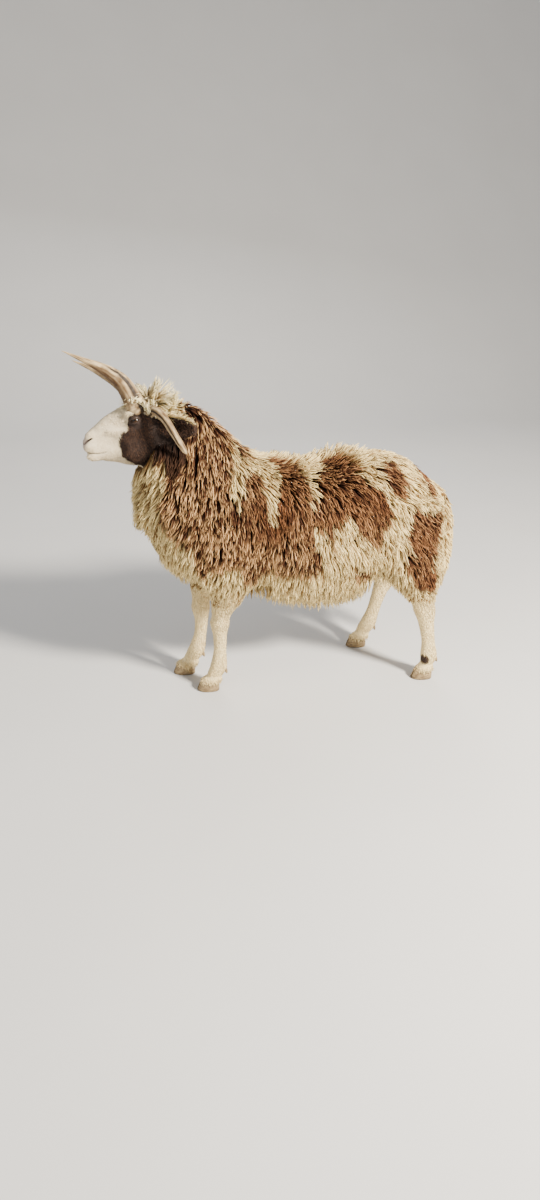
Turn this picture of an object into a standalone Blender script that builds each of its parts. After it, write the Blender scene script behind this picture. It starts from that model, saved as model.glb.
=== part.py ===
"""A four-horned Jacob ewe, standing, life size, as a still model.

The sheep faces -X with its left side towards -Y, +Z is up and the hooves stand on z = 0.
Skin sections are lofted for the torso, neck, head, legs and tail and joined into one body.
The fleece is a core over the skin with tapered locks rooted in it, each bent along its lie.
The body is then parted by thin cuts into head, neck, torso, tail and legs; horns, ears,
eyes and hooves are nodes of their own.
"""

import math
import random

import bmesh
import bpy
from mathutils import Matrix, Vector
from mathutils.bvhtree import BVHTree

# Driving dimensions, in metres
GAP = 0.0003  # between nodes that touch
SINK = 0.005  # how deep a lock's edges lie under the core
FLEECE_CORE = 0.020  # the fleece's solid depth over the skin
WITHERS_HEIGHT = 0.660
HOOF_HEIGHT = 0.030
EYE_RADIUS = 0.0125
EAR_LENGTH = 0.118
EAR_WIDTH = 0.054
EAR_THICKNESS = 0.005
UPPER_HORN_HALF = 0.0245
SIDE_HORN_HALF = 0.0100
KEEP = 0.8  # share of a cut node's triangles kept after its slivers go
SEED = 7

# Skin sections of the torso: x, top z, bottom z, half width
TORSO = [
    (-0.440, 0.580, 0.500, 0.048),
    (-0.412, 0.615, 0.440, 0.080),
    (-0.365, 0.640, 0.395, 0.105),
    (-0.295, WITHERS_HEIGHT - 0.005, 0.362, 0.122),
    (-0.195, WITHERS_HEIGHT, 0.345, 0.132),
    (-0.085, 0.645, 0.334, 0.140),
    (0.030, 0.643, 0.320, 0.146),
    (0.125, 0.659, 0.324, 0.146),
    (0.210, 0.668, 0.352, 0.139),
    (0.285, 0.652, 0.400, 0.126),
    (0.345, 0.612, 0.450, 0.100),
    (0.382, 0.575, 0.498, 0.060),
]

# Skin sections of the neck: centre x, centre z, half depth, half width
NECK = [
    (-0.245, 0.530, 0.140, 0.105),
    (-0.305, 0.615, 0.128, 0.090),
    (-0.352, 0.679, 0.118, 0.077),
    (-0.390, 0.727, 0.103, 0.067),
    (-0.420, 0.765, 0.084, 0.054),
]

# Head sections about the neck joint: top x, top z, bottom x, bottom z, half width
HEAD = [
    (-0.189, -0.020, -0.191, -0.052, 0.019),
    (-0.180, -0.003, -0.180, -0.064, 0.026),
    (-0.166, 0.010, -0.166, -0.078, 0.030),
    (-0.143, 0.031, -0.136, -0.081, 0.033),
    (-0.113, 0.050, -0.101, -0.083, 0.040),
    (-0.089, 0.063, -0.068, -0.089, 0.048),
    (-0.063, 0.077, -0.032, -0.085, 0.054),
    (-0.036, 0.086, -0.008, -0.066, 0.052),
    (-0.010, 0.082, 0.010, -0.028, 0.038),
]
HEAD_JOINT = Vector((-0.420, 0.0, 0.760))
HEAD_YAW = math.radians(-12)
HEAD_ROLL = math.radians(-8)
HEAD_TURN = (
    Matrix.Translation(HEAD_JOINT)
    @ Matrix.Rotation(HEAD_YAW, 4, "Z")
    @ Matrix.Rotation(HEAD_ROLL, 4, "X")
)

# Leg sections: x, y, z, half depth, half width, from the body down to the coronet
FORE_LEFT = [
    (-0.280, -0.080, 0.500, 0.085, 0.052),
    (-0.246, -0.088, 0.400, 0.072, 0.045),
    (-0.246, -0.076, 0.312, 0.046, 0.034),
    (-0.258, -0.064, 0.245, 0.026, 0.024),
    (-0.262, -0.060, 0.212, 0.026, 0.025),
    (-0.260, -0.058, 0.175, 0.0195, 0.019),
    (-0.259, -0.058, 0.125, 0.0175, 0.0165),
    (-0.262, -0.058, 0.072, 0.0235, 0.0215),
    (-0.272, -0.058, 0.048, 0.0190, 0.0195),
    (-0.282, -0.058, HOOF_HEIGHT + GAP, 0.0250, 0.0240),
]
FORE_RIGHT = [
    (-0.285, 0.080, 0.500, 0.085, 0.052),
    (-0.262, 0.088, 0.400, 0.072, 0.045),
    (-0.274, 0.076, 0.312, 0.046, 0.034),
    (-0.288, 0.064, 0.245, 0.026, 0.024),
    (-0.291, 0.060, 0.212, 0.026, 0.025),
    (-0.289, 0.058, 0.175, 0.0195, 0.019),
    (-0.292, 0.057, 0.125, 0.0175, 0.0165),
    (-0.304, 0.056, 0.072, 0.0235, 0.0215),
    (-0.317, 0.056, 0.048, 0.0190, 0.0195),
    (-0.330, 0.056, HOOF_HEIGHT + GAP, 0.0250, 0.0240),
]
HIND_LEFT = [
    (0.255, -0.070, 0.540, 0.115, 0.060),
    (0.268, -0.096, 0.450, 0.098, 0.054),
    (0.292, -0.110, 0.375, 0.070, 0.044),
    (0.318, -0.118, 0.310, 0.046, 0.034),
    (0.338, -0.122, 0.258, 0.033, 0.025),
    (0.348, -0.123, 0.225, 0.031, 0.024),
    (0.358, -0.124, 0.185, 0.023, 0.0195),
    (0.372, -0.124, 0.125, 0.0195, 0.0170),
    (0.380, -0.124, 0.074, 0.0245, 0.0215),
    (0.377, -0.124, 0.050, 0.0195, 0.0195),
    (0.371, -0.124, HOOF_HEIGHT + GAP, 0.0250, 0.0240),
]
HIND_RIGHT = [
    (0.245, 0.070, 0.540, 0.115, 0.060),
    (0.248, 0.092, 0.450, 0.098, 0.054),
    (0.268, 0.104, 0.375, 0.070, 0.044),
    (0.298, 0.111, 0.310, 0.046, 0.034),
    (0.322, 0.115, 0.258, 0.033, 0.025),
    (0.321, 0.116, 0.225, 0.031, 0.024),
    (0.308, 0.117, 0.185, 0.023, 0.0195),
    (0.292, 0.117, 0.125, 0.0195, 0.0170),
    (0.276, 0.117, 0.074, 0.0245, 0.0215),
    (0.263, 0.117, 0.050, 0.0195, 0.0195),
    (0.250, 0.117, HOOF_HEIGHT + GAP, 0.0250, 0.0240),
]
LEGS = {
    "fore_left": FORE_LEFT,
    "fore_right": FORE_RIGHT,
    "hind_left": HIND_LEFT,
    "hind_right": HIND_RIGHT,
}

# Tail sections: x, z, half depth, half width
TAIL = [
    (0.350, 0.560, 0.030, 0.034),
    (0.392, 0.545, 0.024, 0.028),
    (0.425, 0.500, 0.020, 0.026),
    (0.443, 0.440, 0.018, 0.025),
    (0.450, 0.370, 0.017, 0.023),
    (0.448, 0.310, 0.014, 0.020),
    (0.444, 0.275, 0.008, 0.012),
]

# Horn centre lines in the head's own frame, for the left side, and their base half widths
UPPER_HORN_LEFT = [
    (-0.055, -0.030, 0.057),
    (-0.066, -0.033, 0.079),
    (-0.089, -0.041, 0.118),
    (-0.115, -0.048, 0.141),
    (-0.146, -0.054, 0.158),
    (-0.184, -0.059, 0.174),
    (-0.237, -0.062, 0.195),
]
UPPER_HORN_RIGHT = [
    (-0.053, 0.030, 0.052),
    (-0.064, 0.034, 0.070),
    (-0.086, 0.041, 0.103),
    (-0.112, 0.048, 0.125),
    (-0.143, 0.054, 0.141),
    (-0.180, 0.059, 0.156),
    (-0.228, 0.062, 0.172),
]
SIDE_HORN = [
    (-0.020, -0.046, 0.050),
    (-0.011, -0.064, 0.061),
    (0.006, -0.082, 0.058),
    (0.027, -0.099, 0.039),
    (0.043, -0.106, 0.013),
    (0.058, -0.103, -0.014),
    (0.075, -0.093, -0.047),
]


def material(name, colour, roughness, metallic=0.0):
    """A Principled material with one colour, roughness and metallic value."""
    made = bpy.data.materials.new(name)
    made.use_nodes = True
    shader = made.node_tree.nodes["Principled BSDF"]
    shader.inputs["Base Color"].default_value = (*colour, 1)
    shader.inputs["Roughness"].default_value = roughness
    shader.inputs["Metallic"].default_value = metallic
    return made


def new_object(name, bm, finish=None):
    """A linked object from a bmesh, its faces turned outwards and triangulated."""
    bmesh.ops.recalc_face_normals(bm, faces=bm.faces)
    bmesh.ops.triangulate(bm, faces=bm.faces)
    mesh = bpy.data.meshes.new(name)
    bm.to_mesh(mesh)
    bm.free()
    obj = bpy.data.objects.new(name, mesh)
    sheep.objects.link(obj)
    if finish:
        mesh.materials.append(finish)
    return obj


def tube(
    name, centres, sizes, sides, finish=None, side_axis=Vector((0, 1, 0)), squareness=2.0, narrow_top=0.0
):
    """Lofts a closed tube through ring centres; sizes are (half depth, half width) for each ring.

    A ring lies square to the centre line, with its width along side_axis. squareness is the
    superellipse power, and narrow_top draws the upper half in and lets the lower half out.
    """
    bm = bmesh.new()
    rings = []
    last = len(centres) - 1
    for i, (centre, (deep, wide)) in enumerate(zip(centres, sizes)):
        along = (centres[min(i + 1, last)] - centres[max(i - 1, 0)]).normalized()
        across = (side_axis - along * side_axis.dot(along)).normalized()
        up = along.cross(across)
        ring = []
        for k in range(sides):
            angle = math.tau * k / sides
            c, s = math.cos(angle), math.sin(angle)
            w = math.copysign(abs(s) ** (2 / squareness), s) * wide * (1 - narrow_top * c)
            h = math.copysign(abs(c) ** (2 / squareness), c) * deep
            ring.append(bm.verts.new(centre + up * h + across * w))
        rings.append(ring)
    for a, b in zip(rings, rings[1:]):
        for k in range(sides):
            bm.faces.new((a[k], a[k - 1], b[k - 1], b[k]))
    bm.faces.new(rings[0])
    bm.faces.new(reversed(rings[-1]))
    return new_object(name, bm, finish)


def smooth_line(points, count):
    """count points along a Catmull-Rom curve through the given rows of numbers, ends included."""
    rows = [list(p) for p in points]
    before = [2 * a - b for a, b in zip(rows[0], rows[1])]
    after = [2 * a - b for a, b in zip(rows[-1], rows[-2])]
    rows = [before, *rows, after]
    spans = len(points) - 1
    line = []
    for i in range(count):
        t = i * spans / (count - 1)
        k = min(int(t), spans - 1)
        t -= k
        p = rows[k : k + 4]
        line.append(
            [
                0.5
                * (2 * b + (c - a) * t + (2 * a - 5 * b + 4 * c - d) * t * t + (3 * b - a - 3 * c + d) * t**3)
                for a, b, c, d in zip(*p)
            ]
        )
    return line


def union(target, pieces):
    """Joins pieces, an iterable of closed mesh objects, to target and removes them."""
    group = bpy.data.collections.new("joined")
    bpy.context.scene.collection.children.link(group)
    for piece in pieces:
        group.objects.link(piece)
        sheep.objects.unlink(piece)
    boolean(target, "UNION", group=group)
    for piece in list(group.objects):
        bpy.data.objects.remove(piece)
    bpy.data.collections.remove(group)


def boolean(target, operation, cutter=None, group=None, solver="MANIFOLD"):
    """Applies one Boolean on target, with an object or a collection as its operand."""
    modifier = target.modifiers.new("boolean", "BOOLEAN")
    modifier.operation = operation
    modifier.solver = solver
    if group:
        modifier.operand_type = "COLLECTION"
        modifier.collection = group
    else:
        modifier.object = cutter
    graph = bpy.context.evaluated_depsgraph_get()
    made = bpy.data.meshes.new_from_object(target.evaluated_get(graph))
    target.modifiers.clear()
    old = target.data
    target.data = made
    bpy.data.meshes.remove(old)


def keep_largest(obj, keep=1.0):
    """Keeps the closed surface of obj with the most faces: this fills sealed hollows and drops scraps.

    keep is the share of its triangles left after the slivers and needless edges of the cuts go.
    """
    bm = bmesh.new()
    bm.from_mesh(obj.data)
    bmesh.ops.triangulate(bm, faces=bm.faces)
    groups = face_groups(bm)
    largest = max(groups, key=len)
    bmesh.ops.delete(bm, geom=[f for g in groups if g is not largest for f in g], context="FACES")
    bm.to_mesh(obj.data)
    bm.free()
    if keep < 1:
        modifier = obj.modifiers.new("slivers", "DECIMATE")
        modifier.ratio = keep
        graph = bpy.context.evaluated_depsgraph_get()
        made = bpy.data.meshes.new_from_object(obj.evaluated_get(graph))
        obj.modifiers.clear()
        old = obj.data
        obj.data = made
        bpy.data.meshes.remove(old)


def face_groups(bm):
    """The faces of bm in groups that hang together across edges of two faces."""
    seen, groups = set(), []
    for start in bm.faces:
        if start in seen:
            continue
        group, stack = [], [start]
        seen.add(start)
        while stack:
            face = stack.pop()
            group.append(face)
            for edge in face.edges:
                if len(edge.link_faces) == 2:
                    for other in edge.link_faces:
                        if other not in seen:
                            seen.add(other)
                            stack.append(other)
        groups.append(group)
    return groups


def box(name, centre, size, turn=Matrix.Identity(4)):
    """A cutting box, turned about its centre."""
    bm = bmesh.new()
    bmesh.ops.create_cube(bm, size=1.0, matrix=Matrix.Translation(centre) @ turn @ Matrix.Diagonal((*size, 1)))
    return new_object(name, bm)


def part_off(whole, name, centre, size, turn, finish):
    """Cuts the piece of whole inside a box off as its own node, leaving a gap all round the box."""
    node = whole.copy()
    node.data = whole.data.copy()
    node.name = name
    sheep.objects.link(node)
    inner = box("inner", centre, size, turn)
    outer = box("outer", centre, [s + 2 * GAP for s in size], turn)
    boolean(node, "INTERSECT", inner)
    boolean(whole, "DIFFERENCE", outer)
    for cutter in (inner, outer):
        bpy.data.objects.remove(cutter)
    node.data.materials.clear()
    node.data.materials.append(finish)
    keep_largest(node, KEEP)
    return node


def body_tube(name, rows, sides, extra=0.0, squareness=2.3):
    """The torso's loft: vertical sections from rows of x, top, bottom and half width."""
    centres = [Vector((x, 0, (top + bottom) / 2)) for x, top, bottom, _ in rows]
    sizes = [((top - bottom) / 2 + extra, half + extra) for _, top, bottom, half in rows]
    centres = [centres[0] - Vector((extra + 0.012, 0, 0)), *centres, centres[-1] + Vector((extra + 0.010, 0, 0))]
    sizes = [tuple(0.62 * s for s in sizes[0]), *sizes, tuple(0.55 * s for s in sizes[-1])]
    return tube(name, centres, sizes, sides, squareness=squareness)


def torso_core():
    """The trunk with the fleece core over it."""
    return body_tube("torso", TORSO, 16, FLEECE_CORE)


def neck_core():
    """The neck with the fleece core over it, from inside the shoulders to inside the head."""
    centres = [Vector((x, 0, z)) for x, z, _, _ in NECK]
    sizes = [(deep + FLEECE_CORE, wide + FLEECE_CORE) for _, _, deep, wide in NECK]
    return tube("neck", centres, sizes, 14)


def tail_core():
    """The long undocked tail, from inside the rump down to its tip."""
    centres = [Vector((x, 0, z)) for x, z, _, _ in TAIL]
    sizes = [(deep, wide) for _, _, deep, wide in TAIL]
    return tube("tail", centres, sizes, 8)


def leg_core(name, rows):
    """A leg's loft, with the fleece core's depth added above the knee or hock."""
    rows = smooth_line(rows, 12)
    centres = [Vector(row[:3]) for row in rows]
    sizes = []
    for x, y, z, deep, wide in rows:
        cover = FLEECE_CORE * 0.75 * min(max((z - 0.27) / 0.10, 0), 1)
        sizes.append((deep + cover, wide + cover))
    slope = (centres[-1] - centres[-2]).normalized()
    centres.append(centres[-1] + slope * 0.016)
    sizes.append(sizes[-1])
    leg = tube(name, centres, sizes, 10)
    x, y, _ = centres[-1]
    below = box("below", (x, y, HOOF_HEIGHT + GAP - 0.05), (0.2, 0.2, 0.1))
    boolean(leg, "DIFFERENCE", below)
    bpy.data.objects.remove(below)
    return leg


def dewclaws(rows):
    """The two small horny claws behind a fetlock."""
    x, y, z = rows[-3][:3]
    back = rows[-3][3]
    for side in (-1, 1):
        bm = bmesh.new()
        place = Matrix.Translation((x + back * 0.92, y + side * 0.010, z - 0.012))
        bmesh.ops.create_cone(
            bm, cap_ends=True, segments=6, radius1=0.006, radius2=0.003, depth=0.016,
            matrix=place @ Matrix.Rotation(math.radians(150), 4, "Y"),
        )
        yield new_object("dewclaw", bm)


def ellipsoid(centre, radii):
    """A rounded swelling of flesh or bone."""
    bm = bmesh.new()
    place = Matrix.Translation(centre) @ Matrix.Diagonal((*radii, 1))
    bmesh.ops.create_uvsphere(bm, u_segments=10, v_segments=6, radius=1.0, matrix=place)
    return new_object("ellipsoid", bm)


EYE_CENTRE = Vector((-0.060, -0.0425, 0.028))


def mirrored(point, side):
    """A point of the left side, or its mirror on the right for side 1."""
    return Vector((point[0], -point[1] if side > 0 else point[1], point[2]))


def lid_ring(side, grow=0.0):
    """The rim of both eyelids as a closed loop of flesh, longer than high and drawn to two corners."""
    bm = bmesh.new()
    loops = []
    count, sides = 12, 5
    centre = mirrored(EYE_CENTRE, side)
    out = Vector((-0.25, side, 0.10)).normalized()
    forward = Vector((-1, 0, 0))
    forward = (forward - out * forward.dot(out)).normalized()
    forward = Matrix.Rotation(math.radians(14) * side, 3, out) @ forward
    up = forward.cross(out) * side
    half_long, half_high, thick = 0.0122, 0.0080, 0.0032
    for i in range(count):
        angle = math.tau * i / count
        c, s = math.cos(angle), math.sin(angle)
        pointed = math.copysign(abs(s) ** 1.25, s)
        at = forward * (c * half_long) + up * (pointed * half_high)
        depth = math.sqrt(max(EYE_RADIUS**2 - at.length_squared, 0)) * 0.97
        centre_line = centre + at + out * depth
        radial = at.normalized()
        loops.append(
            [
                bm.verts.new(
                    centre_line + (radial * math.cos(b) * 1.25 + out * math.sin(b) * 0.8) * (thick + grow)
                )
                for b in (math.tau * k / sides for k in range(sides))
            ]
        )
    for a, b in zip(loops, loops[1:] + loops[:1]):
        for k in range(sides):
            bm.faces.new((a[k], a[k - 1], b[k - 1], b[k]))
    return new_object("lids", bm)


def head_core():
    """The skull and face under short hair, with brows, cheeks, lids, mouth line and nostrils."""
    rows = smooth_line(HEAD, 12)
    centres = [Vector(((tx + bx) / 2, 0, (tz + bz) / 2)) for tx, tz, bx, bz, _ in rows]
    sizes = [(Vector((tx - bx, 0, tz - bz)).length / 2, half) for tx, tz, bx, bz, half in rows]
    head = tube("head", centres, sizes, 16, squareness=2.25, narrow_top=0.16)
    forms = [ellipsoid((-0.013, 0, 0.028), (0.050, 0.044, 0.052))]
    for side in (-1, 1):
        forms += [
            ellipsoid(mirrored((-0.062, -0.038, 0.042), side), (0.024, 0.017, 0.013)),
            ellipsoid(mirrored((-0.045, -0.040, -0.040), side), (0.040, 0.016, 0.040)),
            ellipsoid(mirrored((-0.171, -0.019, -0.026), side), (0.015, 0.012, 0.016)),
            ellipsoid(mirrored((-0.150, -0.022, -0.068), side), (0.028, 0.010, 0.011)),
            lid_ring(side),
        ]
    union(head, forms)
    for side in (-1, 1):
        for cutter in (eye_ball(side, GAP), nostril(side), mouth_line(side)):
            boolean(head, "DIFFERENCE", cutter)
            bpy.data.objects.remove(cutter)
    keep_largest(head)
    return head


def nostril(side):
    """The comma-shaped opening of a nostril, cut slanting in from the side of the nose."""
    line = [
        (-0.186, -0.010, -0.033), (-0.183, -0.0215, -0.031), (-0.175, -0.0290, -0.024), (-0.167, -0.0335, -0.018),
    ]
    sizes = [(0.0016, 0.0022), (0.0042, 0.0030), (0.0034, 0.0026), (0.0012, 0.0014)]
    return tube("nostril", [mirrored(p, side) for p in line], sizes, 8)


def mouth_line(side):
    """The groove between the lips, from the front of the muzzle back to the corner of the mouth."""
    line = [
        (-0.197, -0.002, -0.0585), (-0.190, -0.0170, -0.0590), (-0.176, -0.0285, -0.0600),
        (-0.160, -0.0325, -0.0590), (-0.143, -0.0360, -0.0560),
    ]
    centres = [mirrored(p, side) for p in line]
    return tube("mouth", centres, [(0.0011, 0.0070)] * 4 + [(0.0005, 0.004)], 6)


def eye_ball(side, grow=0.0):
    """An eye's ball, seated in the socket of the lids."""
    bm = bmesh.new()
    place = Matrix.Translation(mirrored(EYE_CENTRE, side))
    bmesh.ops.create_uvsphere(bm, u_segments=14, v_segments=8, radius=EYE_RADIUS + grow, matrix=place)
    return new_object("eye", bm)


def horn(points, half, rings, sides, grow=0.0, ridges=0.035):
    """A horn as a tapered tube along its curve, with faint growth rings; grow makes its socket."""
    line = [Vector(p) for p in smooth_line(points, rings)]
    if grow:
        line[0] += (line[0] - line[1]).normalized() * 2 * grow
    sizes = []
    for i in range(rings):
        t = i / (rings - 1)
        taper = half * (1 - t**1.7) + 0.0008
        ridge = 1 + ridges * (-1) ** i * (1 - t)
        sizes.append((taper * ridge + grow, taper * 0.80 * ridge + grow))
    return tube("horn", line, sizes, sides)


def ear(side, grow=0.0):
    """A cupped, leaf-shaped ear: a curled blade of even thickness, closed round its root."""
    root = mirrored((-0.014, -0.036, 0.018), side)
    tip_way = Vector((0.88, 0.43 * side, 0.06)).normalized()
    opening = Vector((-0.45, 0.85 * side, -0.12))
    opening = (opening - tip_way * opening.dot(tip_way)).normalized()
    across = tip_way.cross(opening)
    rows, cols = 8, 7
    bm = bmesh.new()
    grid = []
    for face in (0, 1):
        layer = []
        for i in range(rows):
            t = i / (rows - 1)
            half = EAR_WIDTH / 2 * (0.42 + 0.58 * math.sin(math.pi * min(t * 1.25 + 0.10, 1) ** 0.9) ** 0.8)
            half *= 1 - 0.72 * max(t - 0.62, 0) ** 1.7 / 0.38**1.7
            curl = 1.45 - 0.75 * t
            thick = (EAR_THICKNESS if t < 0.9 else EAR_THICKNESS * 0.6) / 2 + grow
            radius = half / math.sin(min(curl, math.pi / 2))
            line = []
            for j in range(cols):
                a = (curl + 2 * grow / radius) * (j / (cols - 1) * 2 - 1)
                offset = across * (radius * math.sin(a)) - opening * (radius * math.cos(a) - radius)
                normal = across * math.sin(a) - opening * math.cos(a)
                push = thick if face else -thick
                reach = EAR_LENGTH * t + 4 * grow * (t - 0.5)
                droop = Vector((0, 0, -0.012 * t * t))
                line.append(bm.verts.new(root + tip_way * reach + offset + normal * push + droop))
            layer.append(line)
        grid.append(layer)
    inner, outer = grid
    for i in range(rows - 1):
        for j in range(cols - 1):
            bm.faces.new((inner[i][j], inner[i][j + 1], inner[i + 1][j + 1], inner[i + 1][j]))
            bm.faces.new((outer[i][j], outer[i + 1][j], outer[i + 1][j + 1], outer[i][j + 1]))
        for j, way in ((0, 1), (cols - 1, -1)):
            quad = (inner[i][j], inner[i + 1][j], outer[i + 1][j], outer[i][j])
            bm.faces.new(quad[::way])
    for i, way in ((0, 1), (rows - 1, -1)):
        for j in range(cols - 1):
            quad = (inner[i][j], outer[i][j], outer[i][j + 1], inner[i][j + 1])
            bm.faces.new(quad[::way])
    return new_object("ear", bm)


def claw(name, leg, side, finish):
    """One claw of a cloven hoof: a wedge with a flat sole, sloping back from its toe."""
    x, y, _ = leg[-1][:3]
    half = 0.0105
    gap = 0.0022
    bm = bmesh.new()
    layers = []
    outline = [(-0.043, 0.20), (-0.030, 0.78), (-0.010, 1.0), (0.012, 0.95), (0.022, 0.55)]
    for z, slope, spread in ((0.0, 0.0, 1.0), (HOOF_HEIGHT * 0.5, 0.35, 0.97), (HOOF_HEIGHT, 0.75, 0.90)):
        inner = side * gap
        ring = []
        for px, wide in outline:
            shift = px * (1 - 0.28 * slope) + 0.004 * slope
            ring.append((shift, inner + side * 2 * half * wide * spread))
        ring += [(px * (1 - 0.28 * slope) + 0.004 * slope, inner) for px, _ in reversed(outline)]
        layers.append([bm.verts.new((x + px, y + py, z)) for px, py in ring])
    count = len(layers[0])
    for a, b in zip(layers, layers[1:]):
        for k in range(count):
            bm.faces.new((a[k], a[k - 1], b[k - 1], b[k]))
    bm.faces.new(layers[0])
    bm.faces.new(reversed(layers[-1]))
    return new_object(name, bm, finish)


def to_head(obj):
    """Turns a piece made in the head's own frame into the sheep's pose."""
    obj.data.transform(HEAD_TURN)
    return obj


# A lock's section: its two edges and the rounded crest between them, in half widths
PROFILE = (-1, -0.45, 0.45, 1)

# Kinds of fleece: length, width, height of the lock over the core, spacing
FLEECE = {
    "flank": (0.145, 0.070, 0.021, 0.077),
    "neck": (0.118, 0.056, 0.019, 0.064),
    "thigh": (0.108, 0.052, 0.014, 0.062),
    "forearm": (0.060, 0.040, 0.009, 0.052),
    "tail": (0.078, 0.042, 0.011, 0.050),
    "crown": (0.056, 0.028, 0.014, 0.026),
}


def fleece_kind(p):
    """The kind of lock that grows at a point, or None on bare skin."""
    near = HEAD_TURN.inverted() @ p
    if near.x < 0.005 and near.z > -0.16:
        if near.z > 0.050 and near.x > -0.066:
            return "crown"
        return None
    if p.x > 0.412 and abs(p.y) < 0.05:
        return "tail" if p.z > 0.29 else None
    if p.x > 0.30 and abs(p.y) < 0.045 and p.z < 0.54:
        return None
    if p.x < -0.12 and p.z < 0.345:
        return "forearm" if p.z > 0.262 else None
    if p.x > 0.17 and p.z < 0.44:
        return "thigh" if p.z > 0.285 else None
    if p.x < -0.18 and p.z > 0.48 - 0.5 * (p.x + 0.30):
        return "neck"
    return "flank"


def lie_at(p, n, kind):
    """The direction in which the fleece lies: off the spine, down the sides, back over the rump."""
    if kind == "crown":
        return (n + Vector((0.45, 0, 0.55))).normalized()
    back = -0.38 + 0.95 * min(max((p.x + 0.48) / 0.85, 0), 1)
    side = math.copysign(0.55 * max(n.z, 0), p.y if abs(p.y) > 0.004 else 1)
    way = Vector((back + 0.45 * max(n.z, 0), side, -1))
    flat = way - n * way.dot(n)
    hang = max(-n.z, 0) ** 1.5 * 0.9
    return (flat.normalized() * (1 - hang * 0.6) + Vector((0, 0, -1)) * hang).normalized()


def spread_roots(body, rng):
    """Root points spaced evenly over the wool-bearing skin, as (point, normal, kind)."""
    mesh = body.data
    mesh.calc_loop_triangles()
    corners = [[mesh.vertices[v].co for v in t.vertices] for t in mesh.loop_triangles]
    areas = [((b - a).cross(c - a)).length / 2 for a, b, c in corners]
    total = sum(areas)
    cell = 0.06
    taken = {}
    roots = []
    picks = rng.choices(range(len(corners)), weights=areas, k=int(total * 9000))
    for pick in picks:
        a, b, c = corners[pick]
        u, v = rng.random(), rng.random()
        if u + v > 1:
            u, v = 1 - u, 1 - v
        p = a + (b - a) * u + (c - a) * v
        kind = fleece_kind(p)
        if kind is None:
            continue
        n = mesh.loop_triangles[pick].normal
        spacing = FLEECE[kind][3]
        key = tuple(int(math.floor(q / cell)) for q in p)
        near = [
            q
            for dx in (-1, 0, 1)
            for dy in (-1, 0, 1)
            for dz in (-1, 0, 1)
            for q in taken.get((key[0] + dx, key[1] + dy, key[2] + dz), ())
        ]
        if any((q - p).length < spacing for q in near):
            continue
        taken.setdefault(key, []).append(p)
        roots.append((p, n.copy(), kind))
    return roots


def lock(core, root, normal, kind, rng):
    """One tapered lock, bent along its lie: its edges are sunk in the core and its crest stands up.

    A lock on the body ends in a steep point that still stands on the core. One that hangs off the
    belly or stands on the crown leaves the core and ends in a free tip.
    """
    length, width, crest, _ = FLEECE[kind]
    length *= rng.uniform(0.88, 1.14)
    width *= rng.uniform(0.9, 1.12)
    crest *= rng.uniform(0.88, 1.12)
    steps = (0.0, 0.36, 0.72, 1.0)
    widths = (0.82, 1.0, 0.70)
    crests = (0.45, 1.0, 0.92, 0.50)
    at, up, free = root.copy(), normal, False
    way = lie_at(root, normal, kind)
    swing = rng.uniform(-0.25, 0.25)
    stations = [(at.copy(), up, free)]
    for a, b in zip(steps, steps[1:]):
        if kind != "crown":
            way = lie_at(at, up, kind)
        way = (way + way.cross(up).normalized() * swing).normalized()
        swing = -swing * 0.8
        at = at + way * (length * (b - a))
        found, n, _, _ = core.find_nearest(at)
        free = kind == "crown" or free or (n.z < -0.30 and (at - found).dot(n) > 0.010)
        if not free:
            at = found
        up = n
        stations.append((at.copy(), up, free))
    bm = bmesh.new()
    rings = []
    for i, (at, up, free) in enumerate(stations[:3]):
        along = (stations[i + 1][0] - stations[max(i - 1, 0)][0]).normalized()
        across = along.cross(up).normalized()
        top = across.cross(along).normalized()
        top = -top if top.dot(up) < 0 else top
        half = width / 2 * widths[i]
        high = crest * crests[i]
        ring = []
        for u in PROFILE:
            point = at + across * (half * u)
            if abs(u) < 1:
                point += top * (high * (0.4 if free else 1))
            elif free:
                point -= top * (high * 0.3)
            else:
                found, n, _, _ = core.find_nearest(point)
                point = found - n * (SINK if i else 2 * SINK)
            ring.append(bm.verts.new(point))
        rings.append(ring)
    at, up, free = stations[3]
    tip = bm.verts.new(at if free else at + up * (crest * crests[3]))
    foot = tip if free else bm.verts.new(at - up * SINK)
    for a, b in zip(rings, rings[1:]):
        for k in range(len(PROFILE)):
            bm.faces.new((a[k], a[k - 1], b[k - 1], b[k]))
    left, *crown, right = rings[-1]
    for a, b in zip(crown, crown[1:]):
        bm.faces.new((a, b, tip))
    if free:
        for a, b in ((left, crown[0]), (crown[-1], right), (right, left)):
            bm.faces.new((a, b, tip))
    else:
        bm.faces.new((left, crown[0], tip, foot))
        bm.faces.new((crown[-1], right, foot, tip))
        bm.faces.new((right, left, foot))
    bm.faces.new(rings[0])
    return new_object("lock", bm)


def crosses_itself(obj):
    """Whether two faces of obj that share no corner cut each other."""
    faces = [tuple(face.vertices) for face in obj.data.polygons]
    tree = BVHTree.FromPolygons([v.co for v in obj.data.vertices], faces)
    return any(not set(faces[a]) & set(faces[b]) for a, b in tree.overlap(tree))


def clear_scene():
    """Removes every object that the session starts with."""
    for obj in list(bpy.data.objects):
        bpy.data.objects.remove(obj)


def centre_on_floor(nodes):
    """Moves every node so that the box of the whole sheep is centred on x and y."""
    corners = [obj.matrix_world @ v.co for obj in nodes for v in obj.data.vertices]
    x = (min(c.x for c in corners) + max(c.x for c in corners)) / 2
    y = (min(c.y for c in corners) + max(c.y for c in corners)) / 2
    for obj in nodes:
        obj.data.transform(Matrix.Translation((-x, -y, 0)))


clear_scene()
sheep = bpy.data.collections.new("jacob_sheep")
bpy.context.scene.collection.children.link(sheep)

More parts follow.
